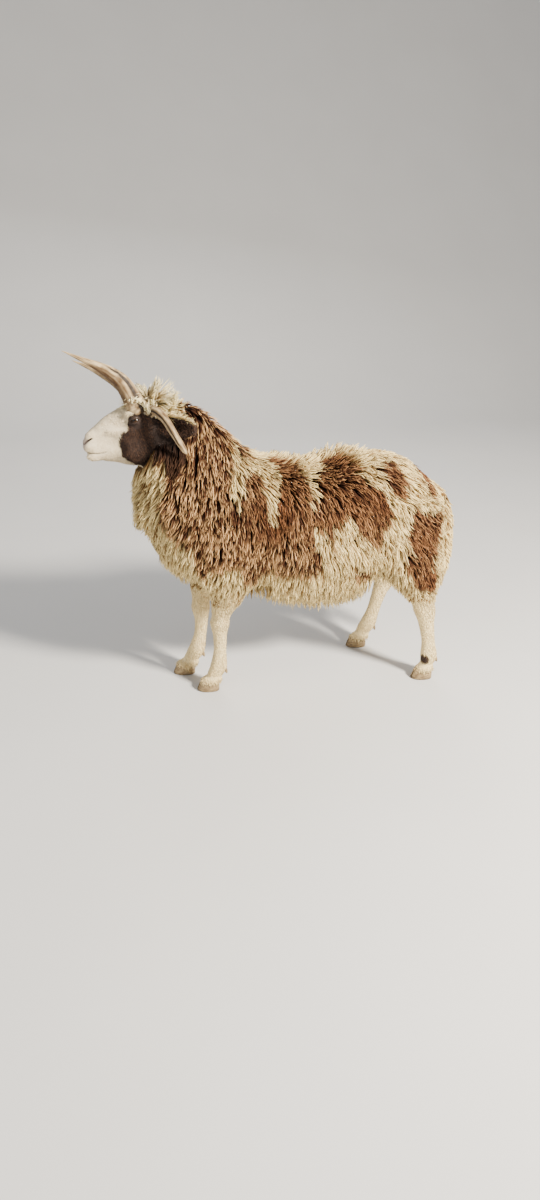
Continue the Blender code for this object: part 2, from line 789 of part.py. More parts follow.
WOOL = material("fleece", (0.62, 0.50, 0.36), 0.9)
HAIR = material("face_hair", (0.78, 0.72, 0.64), 0.8)
HORN = material("horn", (0.60, 0.52, 0.38), 0.55)
HOOF = material("hoof", (0.45, 0.36, 0.22), 0.6)
EYE = material("eye", (0.10, 0.06, 0.03), 0.15)

body = torso_core()
pieces = [neck_core(), tail_core(), to_head(head_core())]
for leg_name, leg in LEGS.items():
    pieces.append(leg_core(leg_name, leg))
    pieces += list(dewclaws(leg))
union(body, pieces)

rng = random.Random(SEED)
core = BVHTree.FromObject(body, bpy.context.evaluated_depsgraph_get())
locks = []
for root, normal, kind in spread_roots(body, rng):
    made = lock(core, root, normal, kind, rng)
    if crosses_itself(made):
        bpy.data.objects.remove(made)
    else:
        locks.append(made)
union(body, locks)

for name, points, half, rings, sides in (
    ("horn_upper_left", UPPER_HORN_LEFT, UPPER_HORN_HALF, 13, 10),
    ("horn_upper_right", UPPER_HORN_RIGHT, UPPER_HORN_HALF, 13, 10),
    ("horn_side_left", SIDE_HORN, SIDE_HORN_HALF, 10, 8),
    ("horn_side_right", [mirrored(p, 1) for p in SIDE_HORN], SIDE_HORN_HALF, 10, 8),
):
    socket = to_head(horn(points, half, rings, sides, GAP))
    boolean(body, "DIFFERENCE", socket)
    bpy.data.objects.remove(socket)
    made = to_head(horn(points, half, rings, sides))
    made.name = name
    made.data.materials.append(HORN)

for side, name in ((-1, "left"), (1, "right")):
    socket = to_head(ear(side, GAP))
    boolean(body, "DIFFERENCE", socket)
    bpy.data.objects.remove(socket)
    made = to_head(ear(side))
    made.name = "ear_" + name
    made.data.materials.append(HAIR)
    made = to_head(eye_ball(side))
    made.name = "eye_" + name
    made.data.materials.append(EYE)
    for leg_end in ("fore", "hind"):
        leg = LEGS[leg_end + "_" + name]
        for claw_side, place in ((side, "outer"), (-side, "inner")):
            claw("hoof_" + leg_end + "_" + name + "_" + place, leg, claw_side, HOOF)

keep_largest(body)
level = Matrix.Identity(4)
hip_slope = Matrix.Rotation(math.radians(-20), 4, "Y")
for side, name in ((-1, "left"), (1, "right")):
    part_off(body, "shank_fore_" + name, (-0.290, 0.160 * side, 0.108), (0.200, 0.284, 0.220), level, HAIR)
    part_off(body, "shank_hind_" + name, (0.320, 0.160 * side, 0.112), (0.300, 0.284, 0.230), level, HAIR)
    part_off(body, "leg_fore_" + name, (-0.270, 0.160 * side, 0.130), (0.220, 0.284, 0.420), level, WOOL)
    part_off(body, "leg_hind_" + name, (0.370, 0.180 * side, 0.140), (0.420, 0.300, 0.560), hip_slope, WOOL)
part_off(body, "tail", (0.526, 0.0, 0.400), (0.250, 0.240, 0.420), Matrix.Rotation(math.radians(7), 4, "Y"), WOOL)
jaw_slope = Matrix.Rotation(math.radians(14), 4, "Y")
part_off(body, "head", (-0.570, 0.0, 0.790), (0.300, 0.440, 0.330), jaw_slope, HAIR)
neck_slope = Matrix.Rotation(math.radians(-40), 4, "Y")
part_off(body, "neck", (-0.480, 0.0, 0.780), (0.440, 0.500, 0.500), neck_slope, WOOL)
body.name = "torso"
body.data.materials.clear()
body.data.materials.append(WOOL)
keep_largest(body, KEEP)

centre_on_floor(list(sheep.objects))
for obj in sheep.objects:
    obj.data.shade_flat()
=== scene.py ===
"""The living look of a standing four-horned ewe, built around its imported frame.

The ewe faces -X with its left side towards -Y. Drawings are made about the middle of its
withers and moved to the frame by SHIFT. One skin carries the flesh; fleece, hair, horns, eyes,
ears and hooves are laid on it in the order in which the real ones lie.
"""

import bpy
import numpy as np
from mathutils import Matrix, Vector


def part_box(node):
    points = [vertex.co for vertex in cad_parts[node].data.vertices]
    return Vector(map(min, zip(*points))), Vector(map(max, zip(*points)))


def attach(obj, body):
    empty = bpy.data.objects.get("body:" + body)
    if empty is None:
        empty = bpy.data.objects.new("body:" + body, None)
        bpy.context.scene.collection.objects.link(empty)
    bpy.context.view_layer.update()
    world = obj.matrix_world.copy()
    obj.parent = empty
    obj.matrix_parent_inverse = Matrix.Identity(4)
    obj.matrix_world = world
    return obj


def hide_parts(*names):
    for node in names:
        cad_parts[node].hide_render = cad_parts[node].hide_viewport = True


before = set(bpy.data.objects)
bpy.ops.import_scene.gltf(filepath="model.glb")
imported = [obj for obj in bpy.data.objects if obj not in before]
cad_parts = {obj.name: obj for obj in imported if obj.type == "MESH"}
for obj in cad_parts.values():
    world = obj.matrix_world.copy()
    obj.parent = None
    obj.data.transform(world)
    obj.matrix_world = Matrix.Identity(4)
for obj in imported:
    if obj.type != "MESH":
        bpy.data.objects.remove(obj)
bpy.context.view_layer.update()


def turn(axis, degrees):
    """The 3 x 3 turn by degrees about one axis of the frame."""
    c, s = np.cos(np.radians(degrees)), np.sin(np.radians(degrees))
    a, b = [(1, 2), (2, 0), (0, 1)]["XYZ".index(axis)]
    made = np.eye(3)
    made[a, a] = made[b, b] = c
    made[a, b], made[b, a] = -s, s
    return made


# Where the head joins the neck and how it is turned there; the left eye then gives SHIFT, as it
# has to lie where the frame has it.
HEAD_JOINT = np.array((-0.420, 0.0, 0.760))
HEAD_TURN = turn("Z", -12) @ turn("X", -8)
EYE_CENTRE = np.array((-0.060, -0.0425, 0.028))
eye_low, eye_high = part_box("eye_left")
SHIFT = (np.array(eye_low) + np.array(eye_high)) / 2 - (HEAD_JOINT + HEAD_TURN @ EYE_CENTRE)
SHIFT[2] = 0

# The standpoint: a camera held at chest height off the ewe's left shoulder and tipped down.
# Where it stands, how it is turned and its lens follow from vanishing points.
CAMERA_PLACE = (-0.8255, -2.3011, 1.3500)
CAMERA_PAN, CAMERA_TIP, CAMERA_ROLL = -17.59, 65.39, 2.74
LENS_MM, SENSOR_MM, CLIP_START = 27.03, 36, 0.05

camera = bpy.data.objects.new("camera", bpy.data.cameras.new("camera"))
bpy.context.scene.collection.objects.link(camera)
camera.data.lens = LENS_MM
camera.data.sensor_width = SENSOR_MM
camera.data.clip_start = CLIP_START
camera.location = SHIFT + CAMERA_PLACE
stance = turn("Z", CAMERA_PAN) @ turn("X", CAMERA_TIP) @ turn("Z", CAMERA_ROLL)
half_turn = np.sqrt(1 + np.trace(stance)) / 2
crossed = (stance[2, 1] - stance[1, 2], stance[0, 2] - stance[2, 0], stance[1, 0] - stance[0, 1])
camera.rotation_mode = "QUATERNION"
camera.rotation_quaternion = (half_turn, *(np.array(crossed) / (4 * half_turn)))
bpy.context.scene.camera = camera

# The skin: one hide over torso, neck, head, tail and legs, drawn as sections of the body under
# the wool. Where sections meet they flow into each other, and the face has its folds carved in.


def through(rows, count):
    """count rows along a Catmull-Rom curve: each span is a cubic whose slope at a row is half
    the step between the rows on either side of it."""
    rows = np.asarray(rows, float)
    rows = np.vstack([2 * rows[0] - rows[1], rows, 2 * rows[-1] - rows[-2]])
    spans = len(rows) - 3
    t = np.linspace(0, spans, count)
    k = np.minimum(t.astype(int), spans - 1)
    t = (t - k)[:, None]
    a, b, c, d = rows[k], rows[k + 1], rows[k + 2], rows[k + 3]
    return 0.5 * (2 * b + (c - a) * t + (2 * a - 5 * b + 4 * c - d) * t**2 + (3 * b - a - 3 * c + d) * t**3)


def follow(at, rows, column):
    """One column of rows read off at values of their first column, straight between rows."""
    order = np.argsort(rows[:, 0])
    return np.interp(at, rows[order, 0], rows[order, column])


def smooth_join(a, b, blend):
    """The lesser of two depths, rounded where they differ by less than blend."""
    near = np.maximum(blend - np.abs(a - b), 0) / blend
    return np.minimum(a, b) - near**2 * blend / 4


def carve(a, b, blend):
    """Takes the form with depth b out of the one with depth a, its rim rounded over blend."""
    return -smooth_join(-a, b, blend)


def section(u, v, half_u, half_v, power=2.0):
    """Depth under a superellipse with half axes half_u and half_v, measured along its ray."""
    ratio = (np.abs(u / half_u) ** power + np.abs(v / half_v) ** power) ** (1 / power)
    reach = np.hypot(u, v)
    return reach - reach / np.maximum(ratio, 1e-6)


def ellipsoid(p, centre, radii):
    """Depth under an ellipsoid: its scaled radius less one, over the slope of that radius."""
    q = (p - centre) / radii
    scaled = np.sqrt((q**2).sum(-1)) + 1e-9
    slope = np.sqrt(((q / radii) ** 2).sum(-1)) + 1e-9
    return scaled * (scaled - 1) / slope


def rod(p, rows):
    """Depth under a chain of round rods: rows of x, y, z, radius at its joints."""
    rows = np.asarray(rows, float)
    depth = np.full(len(p), np.inf)
    for a, b in zip(rows, rows[1:]):
        way = b[:3] - a[:3]
        t = np.clip(((p - a[:3]) @ way) / (way @ way), 0, 1)
        gap = np.linalg.norm(p - a[:3] - t[:, None] * way, axis=1)
        depth = np.minimum(depth, gap - (a[3] + (b[3] - a[3]) * t))
    return depth


TORSO_FRONT, TORSO_BACK = -0.456, 0.394
TORSO = through(
    [(TORSO_FRONT, 0.550, 0.528, 0.020), (-0.440, 0.580, 0.500, 0.048), (-0.412, 0.615, 0.440, 0.080),
     (-0.365, 0.640, 0.395, 0.105), (-0.295, 0.655, 0.362, 0.122), (-0.195, 0.660, 0.345, 0.132),
     (-0.085, 0.645, 0.334, 0.140), (0.030, 0.643, 0.320, 0.146), (0.125, 0.659, 0.324, 0.146),
     (0.210, 0.668, 0.352, 0.139), (0.285, 0.652, 0.400, 0.126), (0.345, 0.612, 0.450, 0.100),
     (0.382, 0.575, 0.498, 0.060), (TORSO_BACK, 0.552, 0.520, 0.024)],
    90,
)
BRISKET, BRISKET_RADII = (-0.390, 0.0, 0.590), (0.066, 0.074, 0.095)


def torso(p):
    """Upright sections along x from rows of x, top, bottom and half width, and the brisket."""
    top, bottom, half = (follow(p[:, 0], TORSO, k) for k in (1, 2, 3))
    side = section(p[:, 1], p[:, 2] - (top + bottom) / 2, half, (top - bottom) / 2, 2.3)
    body = np.maximum(side, np.maximum(p[:, 0] - TORSO_BACK, TORSO_FRONT - p[:, 0]))
    return smooth_join(body, ellipsoid(p, BRISKET, BRISKET_RADII), 0.05)


NECK_FOOT = np.array((-0.245, 0.0, 0.530))
NECK_WAY = np.array((-0.578, 0.0, 0.816))
NECK = np.array(
    [(-0.03, 0.135, 0.104), (0.0, 0.140, 0.105), (0.104, 0.128, 0.090), (0.183, 0.118, 0.077),
     (0.245, 0.103, 0.067), (0.294, 0.084, 0.054), (0.315, 0.062, 0.042)]
)


def neck(p):
    """Oval sections square to a straight axis, from rows of reach, half depth, half width."""
    q = p - NECK_FOOT
    reach = q @ NECK_WAY
    front = q[:, 0] * NECK_WAY[2] - q[:, 2] * NECK_WAY[0]
    deep, wide = (follow(reach, NECK, k) for k in (1, 2))
    side = section(front, p[:, 1], deep, wide)
    return np.maximum(side, np.maximum(reach - NECK[-1, 0], NECK[0, 0] - reach))


TAIL = through(
    [(0.350, 0, 0.560, 0.030, 0.034), (0.392, 0, 0.545, 0.024, 0.028), (0.425, 0, 0.500, 0.020, 0.026),
     (0.443, 0, 0.440, 0.018, 0.025), (0.450, 0, 0.370, 0.017, 0.023), (0.448, 0, 0.310, 0.014, 0.020),
     (0.444, 0, 0.275, 0.008, 0.012)],
    30,
)


def tail(p):
    """A chain of round rods from rows of x, y, z, half depth and half width."""
    return rod(p, np.column_stack([TAIL[:, :3], TAIL[:, 3:].mean(1)]))


# Leg sections from the body down to the coronet: z, half depth and half width, then x and y
FORE = [(0.500, 0.085, 0.052), (0.400, 0.072, 0.045), (0.312, 0.046, 0.034), (0.245, 0.026, 0.024),
        (0.212, 0.026, 0.025), (0.175, 0.0195, 0.019), (0.125, 0.0175, 0.0165), (0.072, 0.0235, 0.0215),
        (0.048, 0.0190, 0.0195), (0.0303, 0.0250, 0.0240)]
HIND = [(0.540, 0.115, 0.060), (0.450, 0.098, 0.054), (0.375, 0.070, 0.044), (0.310, 0.046, 0.034),
        (0.258, 0.033, 0.025), (0.225, 0.031, 0.024), (0.185, 0.023, 0.0195), (0.125, 0.0195, 0.0170),
        (0.074, 0.0245, 0.0215), (0.050, 0.0195, 0.0195), (0.0303, 0.0250, 0.0240)]
LEG_LINES = {
    "fore_left": ([(-0.280, -0.080), (-0.246, -0.088), (-0.246, -0.076), (-0.258, -0.064),
                   (-0.262, -0.060), (-0.260, -0.058), (-0.259, -0.058), (-0.262, -0.058),
                   (-0.272, -0.058), (-0.282, -0.058)], FORE),
    "fore_right": ([(-0.285, 0.080), (-0.262, 0.088), (-0.274, 0.076), (-0.288, 0.064),
                    (-0.291, 0.060), (-0.289, 0.058), (-0.292, 0.057), (-0.304, 0.056),
                    (-0.317, 0.056), (-0.330, 0.056)], FORE),
    "hind_left": ([(0.255, -0.070), (0.268, -0.096), (0.292, -0.110), (0.318, -0.118),
                   (0.338, -0.122), (0.348, -0.123), (0.358, -0.124), (0.372, -0.124),
                   (0.380, -0.124), (0.377, -0.124), (0.371, -0.124)], HIND),
    "hind_right": ([(0.245, 0.070), (0.248, 0.092), (0.268, 0.104), (0.298, 0.111),
                    (0.322, 0.115), (0.321, 0.116), (0.308, 0.117), (0.292, 0.117),
                    (0.276, 0.117), (0.263, 0.117), (0.250, 0.117)], HIND),
}
LEGS = {name: through(np.hstack(tables), 60) for name, tables in LEG_LINES.items()}
COLLAR = 0.0290  # height at which the skin ends over the hooves


def leg(rows):
    """Level sections down z: the oval about the line at that height, longer where it slants."""
    order = np.argsort(rows[:, 2])
    x, y, z, deep, wide = rows[order].T
    slant = np.sqrt(1 + np.gradient(x, z) ** 2)

    def depth(p):
        cx, cy, u, v = (np.interp(p[:, 2], z, row) for row in (x, y, deep * slant, wide))
        tendon = 1 - 0.16 * np.clip((p[:, 0] - cx) / u, 0, 1) * (p[:, 2] < 0.2)
        side = section(p[:, 0] - cx, (p[:, 1] - cy) / tendon, u, v, 2.2)
        return np.maximum(side, np.maximum(p[:, 2] - z[-1], COLLAR - p[:, 2]))

    return depth


# Head sections in the head's own frame: x, top, bottom, half width
NOSE_END, NAPE_END = -0.198, 0.016
HEAD = through(
    [(NOSE_END, -0.030, -0.050, 0.008), (-0.190, -0.019, -0.060, 0.021), (-0.180, -0.003, -0.067, 0.0265),
     (-0.166, 0.010, -0.076, 0.0295), (-0.143, 0.031, -0.080, 0.0315), (-0.113, 0.050, -0.082, 0.0370),
     (-0.089, 0.063, -0.086, 0.0440), (-0.063, 0.077, -0.088, 0.0500), (-0.036, 0.086, -0.086, 0.0520),
     (-0.010, 0.082, -0.066, 0.0480), (NAPE_END, 0.070, -0.030, 0.0360)],
    70,
)
# Forms laid on the head and hollows carved out of it: centre, radii and how softly each joins
HEAD_FORMS = [
    ((-0.013, 0.0, 0.028), (0.048, 0.042, 0.050), 0.012),  # poll
    ((-0.064, -0.034, 0.043), (0.024, 0.015, 0.010), 0.012),  # brow
    ((-0.052, -0.036, -0.036), (0.038, 0.015, 0.036), 0.016),  # jowl
    ((-0.100, -0.032, -0.004), (0.030, 0.009, 0.008), 0.014),  # cheek bone
    ((-0.176, -0.015, -0.020), (0.016, 0.012, 0.014), 0.010),  # wing of the nostril
    ((-0.174, -0.018, -0.047), (0.019, 0.013, 0.011), 0.008),  # upper lip
    ((-0.170, -0.010, -0.070), (0.018, 0.013, 0.010), 0.008),  # chin
]
HEAD_HOLLOWS = [
    ((-0.124, -0.047, 0.014), (0.034, 0.012, 0.012), 0.016),  # beside the nose bone
    ((-0.120, -0.050, -0.040), (0.030, 0.014, 0.016), 0.016),  # cheek
    ((-0.086, -0.053, 0.013), (0.012, 0.006, 0.005), 0.006),  # tear groove
    ((-0.204, 0.0, -0.052), (0.010, 0.0022, 0.014), 0.003),  # cleft of the upper lip
]
# Slits seen from the side, each row x, 0, z and half the gap
MOUTH = [(-0.205, 0, -0.0575, 0.0013), (-0.190, 0, -0.0590, 0.0013), (-0.160, 0, -0.0600, 0.0013),
         (-0.143, 0, -0.0570, 0.0010), (-0.134, 0, -0.0535, 0.0004)]
NOSTRIL = [(-0.205, 0, -0.0420, 0.0010), (-0.1915, 0, -0.0370, 0.0014), (-0.1850, 0, -0.0300, 0.0022),
           (-0.1780, 0, -0.0240, 0.0024), (-0.1710, 0, -0.0215, 0.0010)]
# The eye's own directions: out of the socket, along the lids and across them
LID_OUT = np.array((-0.25, -1.0, 0.10)) / np.linalg.norm((-0.25, -1.0, 0.10))
lid_long = np.array((-1.0, 0.0, 0.0)) + LID_OUT * LID_OUT[0]
lid_long = lid_long / np.linalg.norm(lid_long)
lid_tall = np.cross(lid_long, LID_OUT)
lid_tall = lid_tall * np.sign(lid_tall[2])
tilt = np.radians(-14)
LID_LONG = lid_long * np.cos(tilt) + lid_tall * np.sin(tilt)
LID_TALL = lid_tall * np.cos(tilt) - lid_long * np.sin(tilt)
EYE_RADIUS = 0.0125
LID_SPAN = 0.0116  # half the opening between the corners of the lids


def in_head(p):
    """Points in the head's own frame, about its joint with the neck."""
    return (p - HEAD_JOINT) @ HEAD_TURN


def on_left(h):
    """Points of the head's own frame, those of its right half mirrored over to the left."""
    return np.column_stack([h[:, 0], -np.abs(h[:, 1]), h[:, 2]])


def slits(h):
    """How far points are from the mouth and from the nostrils, seen from the side."""
    seen = h * (1, 0, 1)
    return rod(seen, MOUTH), np.maximum(rod(seen, NOSTRIL), 0.0050 - np.abs(h[:, 1]))


def head(p):
    """Sections along the face, then brows, cheeks, nose and lips joined on, and the sockets,
    the slit of the mouth, the nostrils and the hollows beside the nose bone carved out."""
    h = on_left(in_head(p))
    top, bottom, half = (follow(h[:, 0], HEAD, k) for k in (1, 2, 3))
    tall = (top - bottom) / 2
    level = (h[:, 2] - (top + bottom) / 2) / tall
    pinch = 1 - 0.18 * np.clip(level, -1, 1) - 0.10 * np.clip(-level - 0.3, 0, 1)
    f = section(h[:, 1] / pinch, level * tall, half, tall, 2.25)
    f = np.maximum(f, np.maximum(NOSE_END - h[:, 0], h[:, 0] - NAPE_END))
    for centre, radii, blend in HEAD_FORMS:
        f = smooth_join(f, ellipsoid(h, centre, radii), blend)
    f = smooth_join(f, ellipsoid(h, EYE_CENTRE - LID_OUT * 0.001, (0.0172, 0.0155, 0.0145)), 0.006)
    for centre, radii, blend in HEAD_HOLLOWS:
        f = carve(f, ellipsoid(h, centre, radii), blend)
    near = h[:, 0] < -0.125
    for gap in slits(h[near]):
        f[near] = carve(f[near], np.maximum(gap, -f[near] - 0.0040), 0.0016)
    eye = h - EYE_CENTRE
    across, up, out = eye @ LID_LONG, eye @ LID_TALL, eye @ LID_OUT
    slit = np.maximum(section(across, up + 0.0006, LID_SPAN, 0.0070, 1.7), -out)
    f = carve(f, slit, 0.0015)
    f = carve(f, np.sqrt((eye**2).sum(1)) - EYE_RADIUS - 0.0003, 0.0008)
    fold = np.abs(np.sqrt((across / 1.30) ** 2 + (up * 1.05) ** 2) - EYE_RADIUS)
    crease = fold + 20 * np.maximum(0.002 - up, 0)
    return np.where(out > 0, carve(f, np.maximum(crease - 0.0008, 0.0118 - out), 0.002), f)


# Each form of the flesh: the box it lies in, its depth and how softly it joins the others
FORMS = [
    ((-0.47, -0.16, 0.30), (0.41, 0.16, 0.69), torso, 0.030),
    ((-0.52, -0.12, 0.38), (-0.10, 0.12, 0.85), neck, 0.050),
    ((0.30, -0.05, 0.25), (0.48, 0.05, 0.61), tail, 0.018),
    ((-0.37, -0.15, 0.02), (-0.16, -0.02, 0.51), leg(LEGS["fore_left"]), 0.035),
    ((-0.37, 0.02, 0.02), (-0.16, 0.15, 0.51), leg(LEGS["fore_right"]), 0.035),
    ((0.12, -0.18, 0.02), (0.42, -0.01, 0.55), leg(LEGS["hind_left"]), 0.035),
    ((0.12, 0.01, 0.02), (0.40, 0.18, 0.55), leg(LEGS["hind_right"]), 0.035),
    ((-0.63, -0.08, 0.64), (-0.38, 0.11, 0.90), head, 0.016),
]
FAR, MARGIN = 0.2, 0.08  # depth away from every form, and how far round its box a form counts


def skin_depth(p):
    """How far points lie over the skin, less than nothing inside: the forms joined smoothly."""
    depth = np.full(len(p), FAR)
    for low, high, form, blend in FORMS:
        near = ((p > np.array(low) - MARGIN) & (p < np.array(high) + MARGIN)).all(1)
        depth[near] = smooth_join(depth[near], form(p[near]), blend)
    return depth


def outward(p, step=0.0008):
    """The unit direction straight off the skin, by differences of its depth to both sides."""
    way = np.column_stack([skin_depth(p + e) - skin_depth(p - e) for e in np.eye(3) * step])
    return way / (np.linalg.norm(way, axis=1, keepdims=True) + 1e-12)


def steps(*runs):
    """Grid lines from runs of (start, end, spacing) laid end to end."""
    lines = [np.linspace(a, b, max(int(round((b - a) / d)), 1), endpoint=False) for a, b, d in runs]
    return np.append(np.concatenate(lines), runs[-1][1])


FACE, ROUND_BOX = 0.0017, 0.02  # spacing over the face, and the grid's margin round a form's box
grid_x = steps((-0.635, -0.385, FACE), (-0.385, -0.20, 0.004), (-0.20, 0.20, 0.008), (0.20, 0.43, 0.004),
               (0.43, 0.48, 0.005))
grid_y = steps((-0.19, -0.165, 0.006), (-0.165, -0.070, 0.004), (-0.070, 0.095, FACE), (0.095, 0.165, 0.004),
               (0.165, 0.19, 0.006))
grid_z = steps((0.024, 0.33, 0.0038), (0.33, 0.655, 0.007), (0.655, 0.87, FACE), (0.87, 0.90, 0.004))
depth = np.full((len(grid_x), len(grid_y), len(grid_z)), FAR, np.float32)
for low, high, form, blend in FORMS:
    cut = [slice(np.searchsorted(g, a - ROUND_BOX), np.searchsorted(g, b + ROUND_BOX))
           for g, a, b in zip((grid_x, grid_y, grid_z), low, high)]
    block = np.stack(np.meshgrid(grid_x[cut[0]], grid_y[cut[1]], grid_z[cut[2]], indexing="ij"), -1)
    part = form(block.reshape(-1, 3)).reshape(block.shape[:3])
    depth[tuple(cut)] = smooth_join(depth[tuple(cut)], part, blend)


def surface_net(lines, depth):
    """A closed surface where depth passes nought: each grid cell that it crosses gets one point,
    the mean of the crossings on the cell's edges, and each crossed grid edge gets one face
    between the four cells round it."""
    inside = depth < 0
    shape = np.array(depth.shape) - 1
    corners = [(a, b, c) for a in (0, 1) for b in (0, 1) for c in (0, 1)]
    count = np.zeros(shape, np.int8)
    for a, b, c in corners:
        count += inside[a : shape[0] + a, b : shape[1] + b, c : shape[2] + c]
    cells = np.argwhere((count > 0) & (count < 8))
    number = np.full(shape, -1, np.int32)
    number[tuple(cells.T)] = np.arange(len(cells))
    values = np.stack([depth[tuple((cells + corner).T)] for corner in corners], 1)
    places = np.stack([np.stack([g[cells[:, k] + corner[k]] for k, g in enumerate(lines)], 1)
                       for corner in corners], 1)
    total, hits = np.zeros((len(cells), 3)), np.zeros(len(cells))
    for i, first in enumerate(corners):
        for j, second in enumerate(corners):
            if i < j and sum(abs(a - b) for a, b in zip(first, second)) == 1:
                crossed = (values[:, i] < 0) != (values[:, j] < 0)
                share = values[:, i] / np.where(crossed, values[:, i] - values[:, j], 1)
                spot = places[:, i] + share[:, None] * (places[:, j] - places[:, i])
                total += np.where(crossed[:, None], spot, 0)
                hits += crossed
    quads = []
    for axis in range(3):
        ahead, one, two = np.roll(np.eye(3, dtype=int), axis, axis=1)
        size = np.array(depth.shape) - ahead
        near = inside[: size[0], : size[1], : size[2]]
        far = inside[ahead[0] :, ahead[1] :, ahead[2] :]
        edges = np.argwhere(near != far)
        edges = edges[(edges[:, axis - 2] > 0) & (edges[:, axis - 1] > 0)]
        flip = near[tuple(edges.T)]
        ring = [edges - one - two, edges - two, edges, edges - one]
        ring = np.stack([number[tuple(r.T)] for r in ring], 1)
        quads.append(np.where(flip[:, None], ring, ring[:, ::-1]))
    return total / hits[:, None], np.vstack(quads)


def new_mesh(name, points, faces, attributes=None):
    """A linked object at the origin from points and faces, with number attributes on its points."""
    mesh = bpy.data.meshes.new(name)
    faces = [np.atleast_2d(f) for f in (faces if isinstance(faces, list) else [faces])]
    mesh.vertices.add(len(points))
    mesh.vertices.foreach_set("co", (np.asarray(points) + SHIFT).astype(np.float32).ravel())
    corners = np.concatenate([f.ravel() for f in faces])
    sizes = np.concatenate([np.full(len(f), f.shape[1]) for f in faces])
    mesh.loops.add(len(corners))
    mesh.loops.foreach_set("vertex_index", corners.astype(np.int32))
    mesh.polygons.add(len(sizes))
    mesh.polygons.foreach_set("loop_start", (np.cumsum(sizes) - sizes).astype(np.int32))
    mesh.update(calc_edges=True)
    mesh.validate()
    mesh.polygons.foreach_set("use_smooth", np.full(len(mesh.polygons), True))
    for key, values in (attributes or {}).items():
        layer = mesh.attributes.new(key, "FLOAT", "POINT")
        layer.data.foreach_set("value", np.asarray(values, np.float32))
    made = bpy.data.objects.new(name, mesh)
    bpy.context.scene.collection.objects.link(made)
    return made


skin_points, skin_faces = surface_net((grid_x, grid_y, grid_z), depth)
NUDGE = 0.0015  # furthest that a point moves in one pass down to the skin
for _ in range(2):
    off = skin_depth(skin_points)
    skin_points = skin_points - outward(skin_points) * np.clip(off, -NUDGE, NUDGE)[:, None]
skin_points[:, 2] = np.maximum(skin_points[:, 2], COLLAR)

# The markings: cream wool with chestnut patches, a dark cheek on either side of a white face,
# and a dark spot over the left hind fetlock. Each patch is drawn as an outline on the flank.


def waver(p, size, seed):
    """Soft noise about nought: hashed values at the corners of a lattice, blended smoothly."""
    q = np.asarray(p) / size + seed * 17.31
    base = np.floor(q).astype(np.int64)
    t = q - base
    t = t * t * (3 - 2 * t)
    total = np.zeros(len(q))
    for dx in (0, 1):
        for dy in (0, 1):
            for dz in (0, 1):
                i, j, k = (base + (dx, dy, dz)).T
                h = (i * 73856093) ^ (j * 19349663) ^ (k * 83492791) ^ (seed * 2654435761)
                h = (h ^ (h >> 13)) * 1274126177
                value = ((h ^ (h >> 16)) & 0xFFFF) / 32767.5 - 1
                share = (t[:, 0] if dx else 1 - t[:, 0]) * (t[:, 1] if dy else 1 - t[:, 1])
                total += value * share * (t[:, 2] if dz else 1 - t[:, 2])
    return total


def within(u, v, outline):
    """Depth inside a closed outline, positive inside: the distance to its nearest side, signed
    by whether a ray from the point crosses the outline an odd number of times."""
    corners = np.asarray(outline, float)
    gap = np.full(len(u), np.inf)
    odd = np.zeros(len(u), bool)
    for (ax, ay), (bx, by) in zip(corners, np.roll(corners, -1, axis=0)):
        dx, dy = bx - ax, by - ay
        t = np.clip(((u - ax) * dx + (v - ay) * dy) / (dx * dx + dy * dy), 0, 1)
        gap = np.minimum(gap, np.hypot(u - ax - t * dx, v - ay - t * dy))
        odd ^= ((ay > v) != (by > v)) & (u < ax + (v - ay) * dx / (dy if dy else 1e-9))
    return np.where(odd, gap, -gap)


SHOULDER_PATCH = [
    (-0.459, 0.712), (-0.430, 0.750), (-0.410, 0.880), (-0.330, 0.920), (-0.250, 0.830), (-0.218, 0.758),
    (-0.246, 0.690), (-0.257, 0.641), (-0.247, 0.599), (-0.232, 0.568), (-0.179, 0.553), (-0.137, 0.545),
    (-0.094, 0.550), (-0.032, 0.511), (-0.015, 0.446), (0.009, 0.409), (0.002, 0.379), (-0.032, 0.363),
    (-0.067, 0.382), (-0.109, 0.376), (-0.163, 0.400), (-0.176, 0.350), (-0.217, 0.370), (-0.231, 0.418),
    (-0.302, 0.420), (-0.329, 0.392), (-0.345, 0.410), (-0.356, 0.461), (-0.399, 0.478), (-0.425, 0.515),
    (-0.437, 0.558), (-0.432, 0.610), (-0.420, 0.655), (-0.438, 0.690),
]
RIB_PATCH = [(-0.223, 0.666), (-0.197, 0.671), (-0.166, 0.645), (-0.163, 0.598), (-0.160, 0.540),
             (-0.231, 0.545), (-0.238, 0.599), (-0.224, 0.630)]
BACK_PATCH = [(-0.132, 0.684), (-0.092, 0.690), (-0.052, 0.676), (-0.044, 0.647), (-0.038, 0.610),
              (-0.042, 0.576), (-0.030, 0.547), (-0.032, 0.495), (-0.150, 0.500), (-0.140, 0.551),
              (-0.137, 0.580), (-0.136, 0.620), (-0.118, 0.652)]
SADDLE_PATCH = [
    (0.020, 0.692), (0.088, 0.700), (0.114, 0.676), (0.111, 0.649), (0.137, 0.629), (0.171, 0.606),
    (0.192, 0.559), (0.188, 0.522), (0.173, 0.472), (0.152, 0.458), (0.128, 0.478), (0.093, 0.517),
    (0.066, 0.552), (0.048, 0.540), (0.030, 0.514), (0.024, 0.463), (0.006, 0.484), (-0.006, 0.506),
    (-0.060, 0.512), (-0.054, 0.566), (-0.020, 0.590), (-0.008, 0.622), (0.002, 0.648), (0.020, 0.660),
]
LOIN_PATCH = [(0.180, 0.666), (0.214, 0.672), (0.238, 0.652), (0.251, 0.622), (0.220, 0.588), (0.198, 0.604),
              (0.190, 0.630), (0.176, 0.648)]
HIP_PATCH = [(0.314, 0.670), (0.346, 0.660), (0.374, 0.628), (0.354, 0.596), (0.328, 0.582), (0.312, 0.606),
             (0.304, 0.640)]
